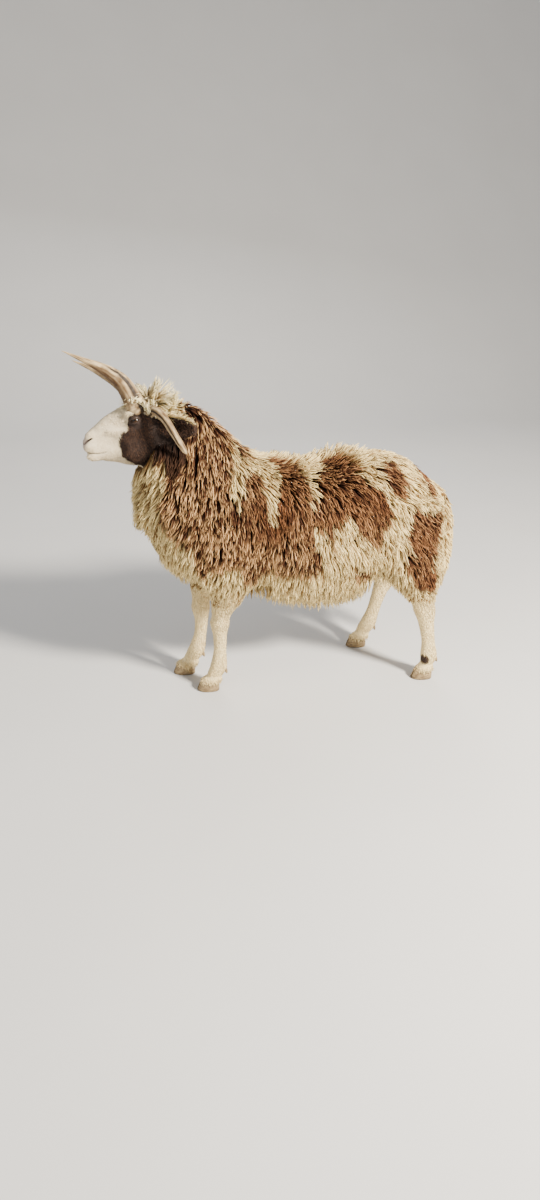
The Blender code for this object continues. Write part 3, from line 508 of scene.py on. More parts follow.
THIGH_PATCH = [
    (0.262, 0.560), (0.317, 0.547), (0.366, 0.531), (0.356, 0.489), (0.330, 0.444), (0.334, 0.385),
    (0.360, 0.341), (0.352, 0.300), (0.320, 0.314), (0.281, 0.333), (0.251, 0.390), (0.256, 0.438),
    (0.238, 0.490), (0.254, 0.527),
]
FLANK_SPOT = [(0.098, 0.382), (0.150, 0.378), (0.168, 0.352), (0.120, 0.338)]
WITHERS_SPOT = [(-0.226, 0.735), (-0.184, 0.712), (-0.190, 0.694), (-0.218, 0.700)]
LEFT_PATCHES = (SHOULDER_PATCH, RIB_PATCH, BACK_PATCH, SADDLE_PATCH, LOIN_PATCH, HIP_PATCH, THIGH_PATCH,
                FLANK_SPOT, WITHERS_SPOT)
RIGHT_PATCHES = (
    SHOULDER_PATCH,
    [(x * 1.15 + 0.050, z * 0.9 + 0.035) for x, z in BACK_PATCH],
    [(x * 0.95 + 0.065, z * 0.95 - 0.010) for x, z in SADDLE_PATCH],
    [(x - 0.020, z - 0.060) for x, z in HIP_PATCH],
    [(x - 0.005, z - 0.060) for x, z in THIGH_PATCH],
)
CHEEK_PATCH = [(-0.052, 0.057), (-0.070, 0.045), (-0.081, 0.026), (-0.079, 0.004), (-0.099, -0.004),
               (-0.104, -0.030), (-0.098, -0.060), (-0.080, -0.078), (-0.056, -0.094), (-0.034, -0.098),
               (0.000, -0.070), (0.030, -0.030), (0.060, 0.030), (-0.005, 0.042), (-0.023, 0.046)]
NAPE_PATCH = [(-0.01, 0.035), (-0.015, -0.050), (0.005, -0.100), (0.045, -0.112), (0.070, -0.070),
              (0.075, 0.01), (0.04, 0.04)]
FETLOCK_SPOT, SPOT_RADII = (0.357, -0.146, 0.068), (0.017, 0.032, 0.019)


def markings(p):
    """How brown, how dark and how bare the hide or a tuft is at p, each from 0 to 1.

    A patch is the soft step of the depth inside its outline, its edge made ragged by noise that
    is drawn out along the fall of the wool."""
    drawn = p * (1, 1, 0.35)
    edge = 0.010 * waver(drawn, 0.022, 3) + 0.008 * waver(drawn, 0.009, 4)
    u, v = p[:, 0], p[:, 2]
    left = np.max([within(u, v, patch) for patch in LEFT_PATCHES], axis=0)
    right = np.max([within(u, v, patch) for patch in RIGHT_PATCHES], axis=0)
    side = np.clip(p[:, 1] / 0.03 + 0.5, 0, 1)
    brown = np.clip((left * (1 - side) + right * side + edge) / 0.006 + 0.5, 0, 1)
    front = np.clip((np.abs(p[:, 1]) - 0.035) / 0.02, 0, 1)
    brown = np.where(p[:, 0] < -0.40, brown * np.where(p[:, 2] < 0.70, front, 1), brown)
    h = in_head(p)
    on_head = (h[:, 0] < 0.012) & (h[:, 2] > -0.104)
    small = 0.003 * waver(p, 0.006, 5) + 0.002 * waver(p, 0.0025, 6)
    cheek = within(h[:, 0], h[:, 2], CHEEK_PATCH) + small
    aside = np.abs(h[:, 1]) - 0.020 + small
    dark = np.clip(np.minimum(cheek, aside) / 0.0025 + 0.5, 0, 1) * on_head
    behind = np.clip(within(h[:, 0], h[:, 2], NAPE_PATCH) / 0.010 + 0.5 + 40 * small, 0, 1)
    dark = np.maximum(dark, behind * (np.abs(h[:, 1]) > 0.03) * ~on_head)
    brown = np.where(on_head & (h[:, 2] > -0.06), 0, brown)
    crown = (h[:, 2] > 0.046 - 0.45 * h[:, 0]) & (h[:, 0] < 0.085)
    brown = np.where(crown, brown * (h[:, 0] > 0.06 + small * 8), brown)
    dark = np.where(crown, 0, dark)
    spot = 1 - np.linalg.norm((p - FETLOCK_SPOT) / SPOT_RADII, axis=1) + 5 * small
    dark = np.maximum(dark, np.clip(spot * 6, 0, 1))
    nose = np.clip((-0.181 - h[:, 0] + 0.10 * (h[:, 2] + 0.03) + small) / 0.012, 0, 1) * (h[:, 2] < 0.0)
    bare = np.where(on_head, nose * (h[:, 2] > -0.066), 0)
    # The nostrils and the slit of the mouth are darkened here as painted shade.
    mouth, nostril = slits(h)
    slit = np.maximum(np.clip(1 - nostril / 0.0013, 0, 1), 0.45 * np.clip(1 - mouth / 0.0009, 0, 1))
    dark = np.maximum(dark, slit * (h[:, 0] < -0.13))
    return brown, dark, bare


brown, dark, bare = markings(skin_points)
warm = np.clip((0.55 - skin_points[:, 2]) / 0.1, 0, 1)
skin = new_mesh("skin", skin_points, skin_faces,
                attributes={"brown": brown, "dark": dark, "bare": bare, "warm": warm})


class Socket:
    """A node's output socket whose + - * build Math nodes."""

    def __init__(self, tree, out):
        self.tree, self.out = tree, out

    def _maths(self, operation, *values):
        return self.tree.node("ShaderNodeMath", {"operation": operation}, *values)

    def __add__(self, other):
        return self._maths("ADD", self, other)

    def __sub__(self, other):
        return self._maths("SUBTRACT", self, other)

    def __mul__(self, other):
        return self._maths("MULTIPLY", self, other)

    def step(self, low, high):
        """0 below low, 1 above high, and an even slope between."""
        return self.tree.node("ShaderNodeMapRange", {"clamp": True}, self, low, high, 0.0, 1.0)


class Finish:
    """One material's node tree, with its Principled shader and the numbers that are the same all over."""

    def __init__(self, name, roughness, **constants):
        self.material = bpy.data.materials.new(name)
        self.material.use_nodes = True
        self.nodes = self.material.node_tree.nodes
        self.links = self.material.node_tree.links
        self.shader = self.nodes["Principled BSDF"]
        self.shader.inputs["Roughness"].default_value = roughness
        for key, value in constants.items():
            self.shader.inputs[key.replace("_", " ")].default_value = value

    def put(self, socket, value):
        """Links another socket to this one, or sets a number, a vector or a colour."""
        if isinstance(value, Socket):
            self.links.new(value.out, socket)
        elif isinstance(value, tuple) and len(value) == 3 and socket.type == "RGBA":
            socket.default_value = (*value, 1)
        else:
            socket.default_value = value

    def node(self, kind, settings, *values, out=0, **named):
        """One node: its settings first, then values or links for its sockets in turn or by name."""
        made = self.nodes.new(kind)
        for key, value in settings.items():
            setattr(made, key, value)
        for socket, value in zip(made.inputs, values):
            if value is not None:
                self.put(socket, value)
        for key, value in named.items():
            self.put(made.inputs[key.replace("_", " ")], value)
        return Socket(self, made.outputs[out])

    def mix(self, share, a, b, blend="MIX"):
        """A colour between a and b, whose sockets are the seventh and eighth of their node."""
        settings = {"data_type": "RGBA", "blend_type": blend}
        return self.node("ShaderNodeMix", settings, share, *[None] * 5, a, b, out=2)

    def number(self, key):
        """A number kept on the mesh's points."""
        return self.node("ShaderNodeAttribute", {"attribute_name": key}, out=2)

    def place(self):
        """Object coordinates, in metres."""
        return self.node("ShaderNodeTexCoord", {}, out=3)

    def noise(self, size, detail=3.0, vector=None):
        """Noise from 0 to 1 with its largest forms about size across."""
        vector = vector or self.place()
        return self.node("ShaderNodeTexNoise", {}, Vector=vector, Scale=1.0 / size, Detail=detail)

    def stretched(self, scale):
        """Object coordinates drawn out along some axes."""
        return self.node("ShaderNodeMapping", {}, self.place(), Scale=scale)

    def finish(self, colour, roughness=None, height=None, strength=0.4, distance=0.002):
        """Feeds the shader what changes over the surface: colour, roughness and a bump's height."""
        self.put(self.shader.inputs["Base Color"], colour)
        if roughness is not None:
            self.put(self.shader.inputs["Roughness"], roughness)
        if height is not None:
            bump = self.node("ShaderNodeBump", {}, Strength=strength, Distance=distance, Height=height)
            self.put(self.shader.inputs["Normal"], bump)


CREAM_ROOT_SHADED = (0.20, 0.105, 0.034)
CREAM_TIP = (1.0, 0.80, 0.39)
BROWN_DEEP = (0.016, 0.0050, 0.0020)
BROWN_MID = (0.085, 0.032, 0.013)
BROWN_TIP = (0.300, 0.130, 0.052)
BLEACHED = (0.900, 0.560, 0.260)
CHARCOAL = (0.016, 0.0095, 0.0075)
FACE_WHITE = (0.95, 0.83, 0.60)
LEG_CREAM = (1.0, 0.80, 0.41)
MUZZLE = (0.44, 0.34, 0.30)
MUZZLE_PALE = (0.62, 0.47, 0.41)
SOILED = (0.70, 0.55, 0.33)
CHEEK_BROWN = (0.050, 0.030, 0.022)

hide = Finish("hide", roughness=0.75, Specular_IOR_Level=0.25)
mottle = hide.noise(0.020)
fine = hide.noise(0.0025, 2.0, hide.stretched((1.0, 1.0, 0.35)))
white = hide.mix(hide.number("warm"), FACE_WHITE, LEG_CREAM)
white = hide.mix(mottle * 0.8, white, SOILED)
patch = hide.mix(fine, BROWN_DEEP, BROWN_MID)
coat = hide.mix(hide.number("brown"), white, patch)
coat = hide.mix(hide.number("dark"), coat, hide.mix(fine, CHARCOAL, CHEEK_BROWN))
coat = hide.mix(hide.number("bare") * 0.75, coat, hide.mix(fine, MUZZLE, MUZZLE_PALE))
hide.finish(coat, height=fine, strength=0.5, distance=0.0012)
skin.data.materials.append(hide.material)
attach(skin, "root")
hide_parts("head", "neck", "torso", "tail",
            *(part + "_" + end + "_" + side for part in ("leg", "shank")
              for end in ("fore", "hind") for side in ("left", "right")))

# The eyes: a dark amber ball with the level slot of a sheep's pupil, wet under its cornea, and
# the rims of both lids, two folds of bare dark skin that close to a corner at either end.


def grid_quads(rows, cols, rows_close=False, cols_close=True):
    """Quads between neighbours in a grid of points numbered row by row: each runs to the next row,
    along it and back. A side that closes joins its last points to its first."""
    i, j = np.meshgrid(np.arange(rows if rows_close else rows - 1),
                       np.arange(cols if cols_close else cols - 1), indexing="ij")
    n, m = (i + 1) % rows, (j + 1) % cols
    return np.stack([i * cols + j, n * cols + j, n * cols + m, i * cols + m], -1).reshape(-1, 4)


def lathe_ball(count_around, count_down):
    """Points of a unit ball as rings about its x axis, with a pole at either end, and its faces."""
    down = np.linspace(0, np.pi, count_down)[1:-1, None]
    around = np.linspace(0, 2 * np.pi, count_around, endpoint=False)[None, :]
    ring = (np.cos(down), np.sin(down) * np.cos(around), np.sin(down) * np.sin(around))
    ring = np.stack(np.broadcast_arrays(*ring), -1).reshape(-1, 3)
    points = np.vstack([[(1, 0, 0)], ring, [(-1, 0, 0)]])
    k = np.arange(count_around)
    n = (k + 1) % count_around
    pole = len(points) - 1
    last = pole - count_around
    caps = [np.stack([0 * k, 1 + k, 1 + n], 1), np.stack([0 * k + pole, last + n, last + k], 1)]
    return points, [grid_quads(count_down - 2, count_around) + 1, *caps]


def in_place(h, side):
    """Points of the head's left half, or mirrored for side 1, turned into the ewe's pose."""
    return HEAD_JOINT + (h * (1, -1 if side > 0 else 1, 1)) @ HEAD_TURN.T


def outward_faces(faces, side):
    """Faces of the left half, their order turned round for the mirrored side."""
    return [f[:, ::-1] if side > 0 else f for f in (faces if isinstance(faces, list) else [faces])]


CORNEA_BULGE = 0.035  # share of the eye's radius
LID_RISE, LID_FALL = 0.0067, 0.0062  # half heights of the opening's upper and lower rim
LID_AROUND, LID_OVER = 72, 10  # points round the opening and over the rim's roll

IRIS_DARK, IRIS_AMBER = (0.012, 0.006, 0.003), (0.055, 0.026, 0.009)
EYE_WHITE, PUPIL_BLACK = (0.035, 0.022, 0.016), (0.004, 0.004, 0.005)
LID_DARK, LID_WORN = (0.012, 0.007, 0.005), (0.062, 0.034, 0.022)

eye_finish = Finish("eye", roughness=0.20, Coat_Weight=0.08, Coat_Roughness=0.04, Specular_IOR_Level=0.15)
streaks = eye_finish.noise(0.0012)
iris = eye_finish.mix(streaks, IRIS_DARK, IRIS_AMBER)
ball_colour = eye_finish.mix(eye_finish.number("iris"), EYE_WHITE, iris)
ball_colour = eye_finish.mix(eye_finish.number("pupil"), ball_colour, PUPIL_BLACK)
eye_finish.finish(ball_colour)

lid_finish = Finish("lids", roughness=0.42, Specular_IOR_Level=0.4)
lid_grain = lid_finish.noise(0.0011)
lid_finish.finish(lid_finish.mix(lid_grain, LID_DARK, LID_WORN), height=lid_grain, strength=0.3,
                  distance=0.0006)

# The ball seen along its own axes: cornea, iris and slot are set by how far it faces out
ball, ball_faces = lathe_ball(56, 34)
facing, slot_long, slot_tall = ball @ LID_OUT, ball @ LID_LONG, ball @ LID_TALL
radius = EYE_RADIUS * (1 + CORNEA_BULGE * np.clip((facing - 0.80) / 0.2, 0, 1))
iris_share = np.clip((facing - 0.70) / 0.05, 0, 1)
slot_shape = (np.abs(slot_long / 0.40) ** 3 + np.abs(slot_tall / 0.15) ** 3) ** (1 / 3)
pupil_share = np.clip((1 - slot_shape) / 0.12 + 0.5, 0, 1) * (facing > 0.5)

# The rim of the opening, seated on the ball, and the fat roll of the lid along it
around = np.linspace(0, 2 * np.pi, LID_AROUND, endpoint=False)[:, None]
over = np.linspace(0, 2 * np.pi, LID_OVER, endpoint=False)[None, :]
tall = np.sign(np.sin(around)) * np.abs(np.sin(around)) ** 1.30
spread = np.cos(around) * LID_SPAN
rise = tall * np.where(tall > 0, LID_RISE, LID_FALL) - 0.0004
seat = np.sqrt(np.maximum(EYE_RADIUS**2 - spread**2 - rise**2, 0)) + 0.0004
fat = 0.0013 + 0.0018 * np.maximum(tall, 0)
along = spread + np.cos(around) * fat * 1.1 * np.cos(over)
up = rise + np.sin(around) * fat * 1.2 * np.cos(over)
out = seat + fat * 0.9 * np.sin(over) - 0.0003
rim = EYE_CENTRE + along[..., None] * LID_LONG + up[..., None] * LID_TALL + out[..., None] * LID_OUT
rim_faces = grid_quads(LID_AROUND, LID_OVER, rows_close=True)

for side, name in ((-1, "left"), (1, "right")):
    eye = new_mesh("eye_" + name + "_ball", in_place(EYE_CENTRE + ball * radius[:, None], side),
                   outward_faces(ball_faces, side), attributes={"iris": iris_share, "pupil": pupil_share})
    eye.data.materials.append(eye_finish.material)
    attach(eye, "root")
    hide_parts("eye_" + name)

    lids = new_mesh("lids_" + name, in_place(rim.reshape(-1, 3), side), outward_faces(rim_faces, side))
    lids.data.materials.append(lid_finish.material)
    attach(lids, "root")

# The horns: four hollow sheaths of horn grown from the brow, the upper pair reaching forward and
# up and the side pair curling round the cheeks; ringed at the root, streaked black and tan.


def tube_faces(count, sides):
    """Faces of a tube's rings, numbered in turn, and of its ends, each closed on one point after them."""
    k = np.arange(sides)
    n = (k + 1) % sides
    last = (count - 1) * sides
    root_cap = np.stack([n, k, 0 * k + count * sides], 1)
    tip_cap = np.stack([last + k, last + n, 0 * k + count * sides + 1], 1)
    return [grid_quads(count, sides)[:, (0, 3, 2, 1)], root_cap, tip_cap]


def swept(line, deep, wide, sides, shape=None):
    """A closed tube: each ring lies square to the line, its width as near to y as it can, and
    shape scales it by station and angle; the ends close to a point."""
    count = len(line)
    along = np.gradient(line, axis=0)
    along /= np.linalg.norm(along, axis=1, keepdims=True)
    across = (0, 1, 0) - along * along[:, 1:2]
    across /= np.linalg.norm(across, axis=1, keepdims=True)
    up = np.cross(along, across)
    angle = np.linspace(0, 2 * np.pi, sides, endpoint=False)
    scale = np.ones((count, sides)) if shape is None else shape
    ring = (line[:, None] + up[:, None] * (np.cos(angle) * deep[:, None] * scale)[..., None]
            + across[:, None] * (np.sin(angle) * wide[:, None] * scale)[..., None])
    points = np.vstack([ring.reshape(-1, 3), line[:1], line[-1:] + along[-1:] * deep[-1]])
    return points, tube_faces(count, sides)


def ramp(x, low, high):
    """0 below low, 1 above high, with a smooth step between."""
    t = np.clip((x - low) / (high - low), 0, 1)
    return t * t * (3 - 2 * t)


UPPER_HORNS = {
    "left": [(-0.050, -0.029, 0.046), (-0.055, -0.030, 0.057), (-0.066, -0.033, 0.079),
             (-0.089, -0.041, 0.118), (-0.115, -0.048, 0.141), (-0.146, -0.054, 0.158),
             (-0.184, -0.059, 0.174), (-0.237, -0.062, 0.195)],
    "right": [(-0.048, 0.028, 0.041), (-0.053, 0.030, 0.052), (-0.064, 0.034, 0.070),
              (-0.087, 0.041, 0.100), (-0.113, 0.048, 0.120), (-0.144, 0.054, 0.135),
              (-0.181, 0.059, 0.151), (-0.228, 0.062, 0.168)],
}
SIDE_HORN = [(-0.026, -0.036, 0.043), (-0.020, -0.046, 0.050), (-0.012, -0.064, 0.057),
             (0.003, -0.082, 0.050), (0.022, -0.099, 0.031), (0.038, -0.106, 0.006),
             (0.054, -0.103, -0.019), (0.071, -0.093, -0.047)]
UPPER_HORN_HALF, SIDE_HORN_HALF = 0.0265, 0.0116  # half depths at the root
HORN_DEEP, HORN_TAN, HORN_SHADED = (0.15, 0.088, 0.038), (0.64, 0.47, 0.26), (0.060, 0.026, 0.010)
HORN_BLACK, HORN_STAIN = (0.026, 0.016, 0.009), (0.10, 0.060, 0.030)


def band(turned, middle, level, width):
    """A band down the horn: level less the angle from its middle over width, kept from 0 to 1."""
    gap = np.abs(np.angle(np.exp(1j * (turned - middle))))
    return np.clip(level - gap / width, 0, 1)


horn_finish = Finish("horn", roughness=0.50, Specular_IOR_Level=0.22)
grain = horn_finish.noise(0.0022, 4.0, horn_finish.stretched((0.35, 1.0, 0.6)))
tan = horn_finish.mix(horn_finish.number("streak"), HORN_DEEP, HORN_TAN)
# Painted shade: the underside and the inner side darken towards HORN_SHADED
tan = horn_finish.mix(horn_finish.number("under").step(0.1, 0.9) * 0.85, tan, HORN_SHADED)
tan = horn_finish.mix(horn_finish.number("stripe") * (grain * 0.5 + 0.8), tan, HORN_BLACK)
tan = horn_finish.mix(horn_finish.number("dirt"), tan, HORN_STAIN)
horn_finish.finish(tan, roughness=grain * 0.25 + 0.42, height=grain, strength=0.8, distance=0.001)

for kind, side, name, centre_line, half in (
    ("upper", -1, "left", UPPER_HORNS["left"], UPPER_HORN_HALF),
    ("upper", -1, "right", UPPER_HORNS["right"], UPPER_HORN_HALF),
    ("side", -1, "left", SIDE_HORN, SIDE_HORN_HALF),
    ("side", 1, "right", SIDE_HORN, SIDE_HORN_HALF),
):
    upper = kind == "upper"
    rings, sides = (150, 40) if upper else (110, 28)
    line = through(centre_line, rings)
    t = np.linspace(0, 1, rings)
    blunt = (1 - 0.42 * t**1.5) * np.sqrt(1 - 0.97 * np.clip((t - 0.90) / 0.10, 0, 1) ** 2)
    taper = half * (1 - t**1.7 if upper else blunt) + 0.0006

    # Growth rings fade up the horn; fine lines and a keel run along it
    angle = np.linspace(0, 2 * np.pi, sides, endpoint=False)
    girth = waver(np.column_stack([t * (34 if upper else 22), 0 * t, 0 * t]), 1.0, 8)
    grown = 0.014 * np.sin(t * (150 if upper else 110) + 2 * girth) + 0.018 * girth
    lines = np.cos(angle * 9 + 1.5)[None, :] * 0.008 + np.cos(angle * 5 + 0.4)[None, :] * 0.010
    keel = 0.045 * np.cos(2 * angle + 0.5)[None, :]
    shape = 1 + (grown * (1 - t) ** 0.6)[:, None] + lines + keel * (1 - t)[:, None]
    points, faces = swept(line, taper, taper * 0.80, sides, shape=shape)

    # The dark stripe is the horn's own; the darker bands on the underside, and on the upper pair also on the
    # inner side towards the other horn, are painted shade. All of them turn slowly round the horn
    turned = angle[None, :] + 0.35 * t[:, None] + 0.12 * girth[:, None]
    if upper:
        outside = -1 if name == "left" else 1
        fade = (1 - ramp(t, 0.55, 0.72))[:, None]
        stripe = band(outside * turned, 2.08, 1.6, 0.32 - 0.26 * t[:, None]) * fade
        under = band(outside * turned, 0.50, 1.5, 0.68)
        inner = 0.8 * band(outside * turned, -1.2, 1.3, 0.9)
        under = np.maximum(under, inner) * (ramp(t, 0.15, 0.35) * (1 - ramp(t, 0.75, 0.9)))[:, None]
    else:
        fade = (1 - ramp(t, 0.80, 0.95))[:, None]
        stripe = band(turned, -1.75, 1.4, 0.26) * fade
        under = band(turned, -0.2, 1, 0.9) * 0.8
    dirt = (np.clip(0.5 - t * 9, 0, 0.5) + np.clip(-grown * 14 * (1 - t), 0, 0.35))[:, None] + 0 * turned
    around = np.broadcast_arrays(np.cos(turned), np.sin(turned), 2.5 * t[:, None])
    around = np.stack(around, -1).reshape(-1, 3)
    streak = 0.60 + 0.75 * waver(around, 0.20, 9) + 0.40 * waver(around * (1, 1, 5), 0.4, 10)
    marks = {"stripe": np.minimum(stripe * 1.6, 1), "under": under, "dirt": dirt, "streak": streak}
    marks = {key: np.append(np.clip(value, 0, 1).ravel(), (0, 0)) for key, value in marks.items()}
    horn = new_mesh("horn_" + kind + "_" + name + "_sheath", in_place(points, side),
                    outward_faces(faces, side), attributes=marks)
    horn.data.materials.append(horn_finish.material)
    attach(horn, "root")
    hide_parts("horn_" + kind + "_" + name)

# The ears: long cupped leaves of skin and gristle, dark and short-haired outside, open to the
# side, standing out level behind the side horns.
EAR_ROOT = np.array((-0.014, -0.036, 0.018))
EAR_LENGTH, EAR_WIDTH, EAR_THICKNESS = 0.118, 0.046, 0.005
TIP_DROOP = np.array((0, 0, -0.012))
ear_way = np.array((0.88, -0.43, 0.06)) / np.linalg.norm((0.88, -0.43, 0.06))
ear_open = np.array((-0.45, -0.85, -0.12))
ear_open = ear_open - ear_way * (ear_open @ ear_way)
ear_open /= np.linalg.norm(ear_open)
ear_across = np.cross(ear_way, ear_open)


def ear_blade(t, turn_share):
    """The ear's middle sheet: at reach t a strip of an arc whose radius follows the leaf's width,
    opened flatter towards the tip; turn_share runs from -1 to 1 across it."""
    half = EAR_WIDTH / 2 * (0.50 + 0.50 * np.sin(np.pi / 2 * np.minimum(t / 0.42, 1)))
    half = half * (1.001 - np.minimum(np.maximum(t - 0.55, 0) / 0.45, 1) ** 2.3) ** 0.55
    curl = 1.45 - 0.75 * t
    radius = half / np.sin(np.minimum(curl, np.pi / 2))
    a = curl * turn_share
    normal = ear_across * np.sin(a)[..., None] - ear_open * np.cos(a)[..., None]
    spot = (EAR_ROOT + ear_way * (EAR_LENGTH * t)[..., None] + normal * radius[..., None]
            + ear_open * radius[..., None] + TIP_DROOP * (t * t)[..., None])
    return spot, normal


EAR_BLACK, EAR_WORN = (0.010, 0.007, 0.005), (0.036, 0.024, 0.019)
EAR_INNER, EAR_PINK = (0.012, 0.008, 0.006), (0.050, 0.030, 0.024)

ear_finish = Finish("ear", roughness=0.8, Specular_IOR_Level=0.12)
ear_grain = ear_finish.noise(0.0022, 3.0, ear_finish.stretched((0.3, 1.0, 1.0)))
ear_out = ear_finish.mix(ear_grain, EAR_BLACK, EAR_WORN)
ear_in = ear_finish.mix(ear_grain, EAR_INNER, EAR_PINK)
ear_colour = ear_finish.mix(ear_finish.number("inner"), ear_out, ear_in)
ear_finish.finish(ear_colour, height=ear_grain, strength=0.5, distance=0.0012)

rows, cols = 64, 33
t, share = np.meshgrid(np.linspace(0, 1, rows), np.linspace(-1, 1, cols), indexing="ij")
sheet, sheet_way = ear_blade(t, share)
thick = EAR_THICKNESS / 2 * (1 - 0.75 * np.abs(share) ** 6) * (1 - 0.6 * np.clip(t - 0.85, 0, 1) / 0.15)
vein = 0.0006 * np.cos(share * 16) * np.sin(np.pi * t) * (1 - np.abs(share) ** 4)
outer = sheet + sheet_way * (thick + vein)[..., None]
inner = sheet - sheet_way * (thick - vein)[..., None]
loop = np.concatenate([outer, inner[:, ::-1]], 1)
ear_inner = np.concatenate([0 * t, 0 * t + 1], 1)
ear_faces = grid_quads(rows, 2 * cols)[:, (0, 3, 2, 1)]
k = np.arange(cols - 1)
ends = []
for row, way in ((0, -1), (rows - 1, 1)):
    base = row * 2 * cols
    end = [base + k, base + k + 1, base + 2 * cols - 2 - k, base + 2 * cols - 1 - k]
    ends.append(np.stack(end, 1)[:, ::way])
for side, name in ((-1, "left"), (1, "right")):
    ear = new_mesh("ear_" + name + "_leaf", in_place(loop.reshape(-1, 3), side),
                   outward_faces([ear_faces, *ends], side), attributes={"inner": ear_inner.ravel()})
    ear.data.materials.append(ear_finish.material)
    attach(ear, "root")
    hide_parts("ear_" + name)

# The hooves: two claws to a foot, each a wall of pale horn with faint growth rings, worn flat
# below and stained where it stands in the wet; two small dew claws hang behind each fetlock.
HOOF_HEIGHT = 0.030
CLAW_OUTLINE = through([(-0.0435, 0.06), (-0.040, 0.36), (-0.030, 0.74), (-0.012, 0.99), (0.010, 0.96),
                        (0.020, 0.62), (0.0225, 0.10)], 30)
CLAW_HALF, CLAW_GAP = 0.0105, 0.0022  # half a claw's width, and from the foot's middle to it
CLAW_LEVELS = 16
HOOF_DARK, HOOF_PALE, HOOF_STAIN = (0.18, 0.105, 0.045), (0.62, 0.45, 0.22), (0.075, 0.050, 0.028)

hoof_finish = Finish("hoof", roughness=0.5, Specular_IOR_Level=0.4)
hoof_rings = hoof_finish.noise(0.0030, 3.0, hoof_finish.stretched((0.25, 0.25, 1.0)))
hoof_dirt = hoof_finish.noise(0.012)
hoof_colour = hoof_finish.mix(hoof_rings.step(0.3, 0.7), HOOF_DARK, HOOF_PALE)
hoof_low = hoof_finish.number("low")
hoof_colour = hoof_finish.mix(hoof_low * (hoof_dirt * 0.9 + 0.2), hoof_colour, HOOF_STAIN)
hoof_finish.finish(hoof_colour, roughness=hoof_rings * 0.2 + 0.42, height=hoof_rings, strength=0.5,
                   distance=0.001)

# Each level of a claw is the outline, drawn in with height, and a flat inner side along the gap
rise = np.linspace(0, 1, CLAW_LEVELS)[:, None]
ringed = 1 + 0.012 * np.sin(rise * 26)
draw = (1 - 0.20 * rise) * ringed
belly = 1 - 0.10 * rise + 0.05 * np.sin(np.pi * rise)
worn = 1 - 0.10 * np.clip(0.10 - rise, 0, 1) / 0.10
wall_x, wall_y = CLAW_OUTLINE.T
outer_x = wall_x * draw * worn + 0.003 * rise
outer_y = CLAW_GAP + 2 * CLAW_HALF * wall_y * belly * ringed * worn
inner_y = CLAW_GAP + 0.0012 * np.sin(np.pi * (wall_x + 0.043) / 0.066) * rise
ring_x = np.concatenate([outer_x, outer_x[:, ::-1]], 1)
ring_y = np.concatenate([outer_y, inner_y[:, ::-1]], 1)
ring_z = np.broadcast_to(rise * HOOF_HEIGHT, ring_x.shape)
claw_faces = tube_faces(*ring_x.shape)
low = np.append(np.repeat(1 - rise, ring_x.shape[1]), (1, 0))
for leg_name, rows in LEGS.items():
    foot_x, foot_y = rows[-1][:2]
    leg_side = -1 if leg_name.endswith("left") else 1
    for claw_side, place in ((leg_side, "outer"), (-leg_side, "inner")):
        ring = np.stack([foot_x + ring_x, foot_y + claw_side * ring_y, ring_z], -1)
        middle = ring.mean(1)
        points = np.vstack([ring.reshape(-1, 3), middle[:1], middle[-1:]])
        name = "hoof_" + leg_name + "_" + place
        claw = new_mesh(name + "_claw", points, outward_faces(claw_faces, -claw_side),
                        attributes={"low": low})
        claw.data.materials.append(hoof_finish.material)
        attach(claw, "root")
        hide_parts(name)

# Dew claws, as shares of the leg's depth back from its line, and metres outwards and down
DEW_CLAW = [(0.62, 0.009, 0.003), (0.84, 0.010, 0.009), (0.96, 0.011, 0.018)]
DEW_HALF, DEW_LEVELS = 0.0058, 12
dew_points, dew_faces, dew_start = [], [], 0
for line, sections in LEG_LINES.values():
    x, y = line[-3]
    z, back, _ = sections[-3]
    for side in (-1, 1):
        spine = through([(x + back * a, y + side * b, z - c) for a, b, c in DEW_CLAW], DEW_LEVELS)
        girth = DEW_HALF * (1 - 0.6 * np.linspace(0, 1, DEW_LEVELS) ** 2)
        points, faces = swept(spine, girth, girth, 14)
        dew_points.append(points)
        dew_faces.extend(f + dew_start for f in faces)
        dew_start += len(points)
dew = new_mesh("dew_claws", np.vstack(dew_points), dew_faces, attributes={"low": np.full(dew_start, 0.4)})
dew.data.materials.append(hoof_finish.material)
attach(dew, "root")

# The fleece: staples of fine crimped wool rooted all over the body, gathered into pointed locks
# that fall forward at the chest, straight down the flank and back over the thigh.
rng = np.random.default_rng(11)


def scattered(spacing, keep):
    """Roots spread evenly over the skin where keep allows: points drawn by area, then the first
    one in each cell of a lattice of that spacing."""
    a, b, c, d = (skin_points[skin_faces[:, k]] for k in range(4))
    area = np.linalg.norm(np.cross(c - a, d - b), axis=1) / 2
    centre = (a + b + c + d) / 4
    area = area * keep(centre)
    count = int(area.sum() / spacing**2 * 5)
    pick = rng.choice(len(area), count, p=area / area.sum())
    u, v = rng.random((2, count, 1))
    p = (a[pick] * (1 - u) + b[pick] * u) * (1 - v) + (d[pick] * (1 - u) + c[pick] * u) * v
    cell = np.floor(p / spacing + rng.random(3)).astype(np.int64)
    key = (cell[:, 0] * 4099 + cell[:, 1]) * 4099 + cell[:, 2]
    _, first = np.unique(key, return_index=True)
    return p[np.sort(first)]


def wander(p, size, seed):
    """Three soft noises about nought, one for each axis."""
    return np.column_stack([waver(p, size, seed + k) for k in range(3)])


def unit(v):
    """Directions of vectors: each over its own length."""
    return v / (np.linalg.norm(v, axis=-1, keepdims=True) + 1e-12)


def along_skin(way, n):
    """The part of way that is square to the skin's outward direction n."""
    return way - n * (way * n).sum(1, keepdims=True)


def lie(p, n, parting):
    """The way the coat falls at p: down the side, forward at the chest and back over the rump,
    off the spine to the side that parting gives, flattened onto the skin."""
    back = -0.38 + 0.95 * np.clip((p[:, 0] + 0.48) / 0.85, 0, 1)
    up = np.maximum(n[:, 2], 0)
    return unit(along_skin(np.column_stack([back + 0.45 * up, 0.55 * up * parting, -np.ones(len(p))]), n))


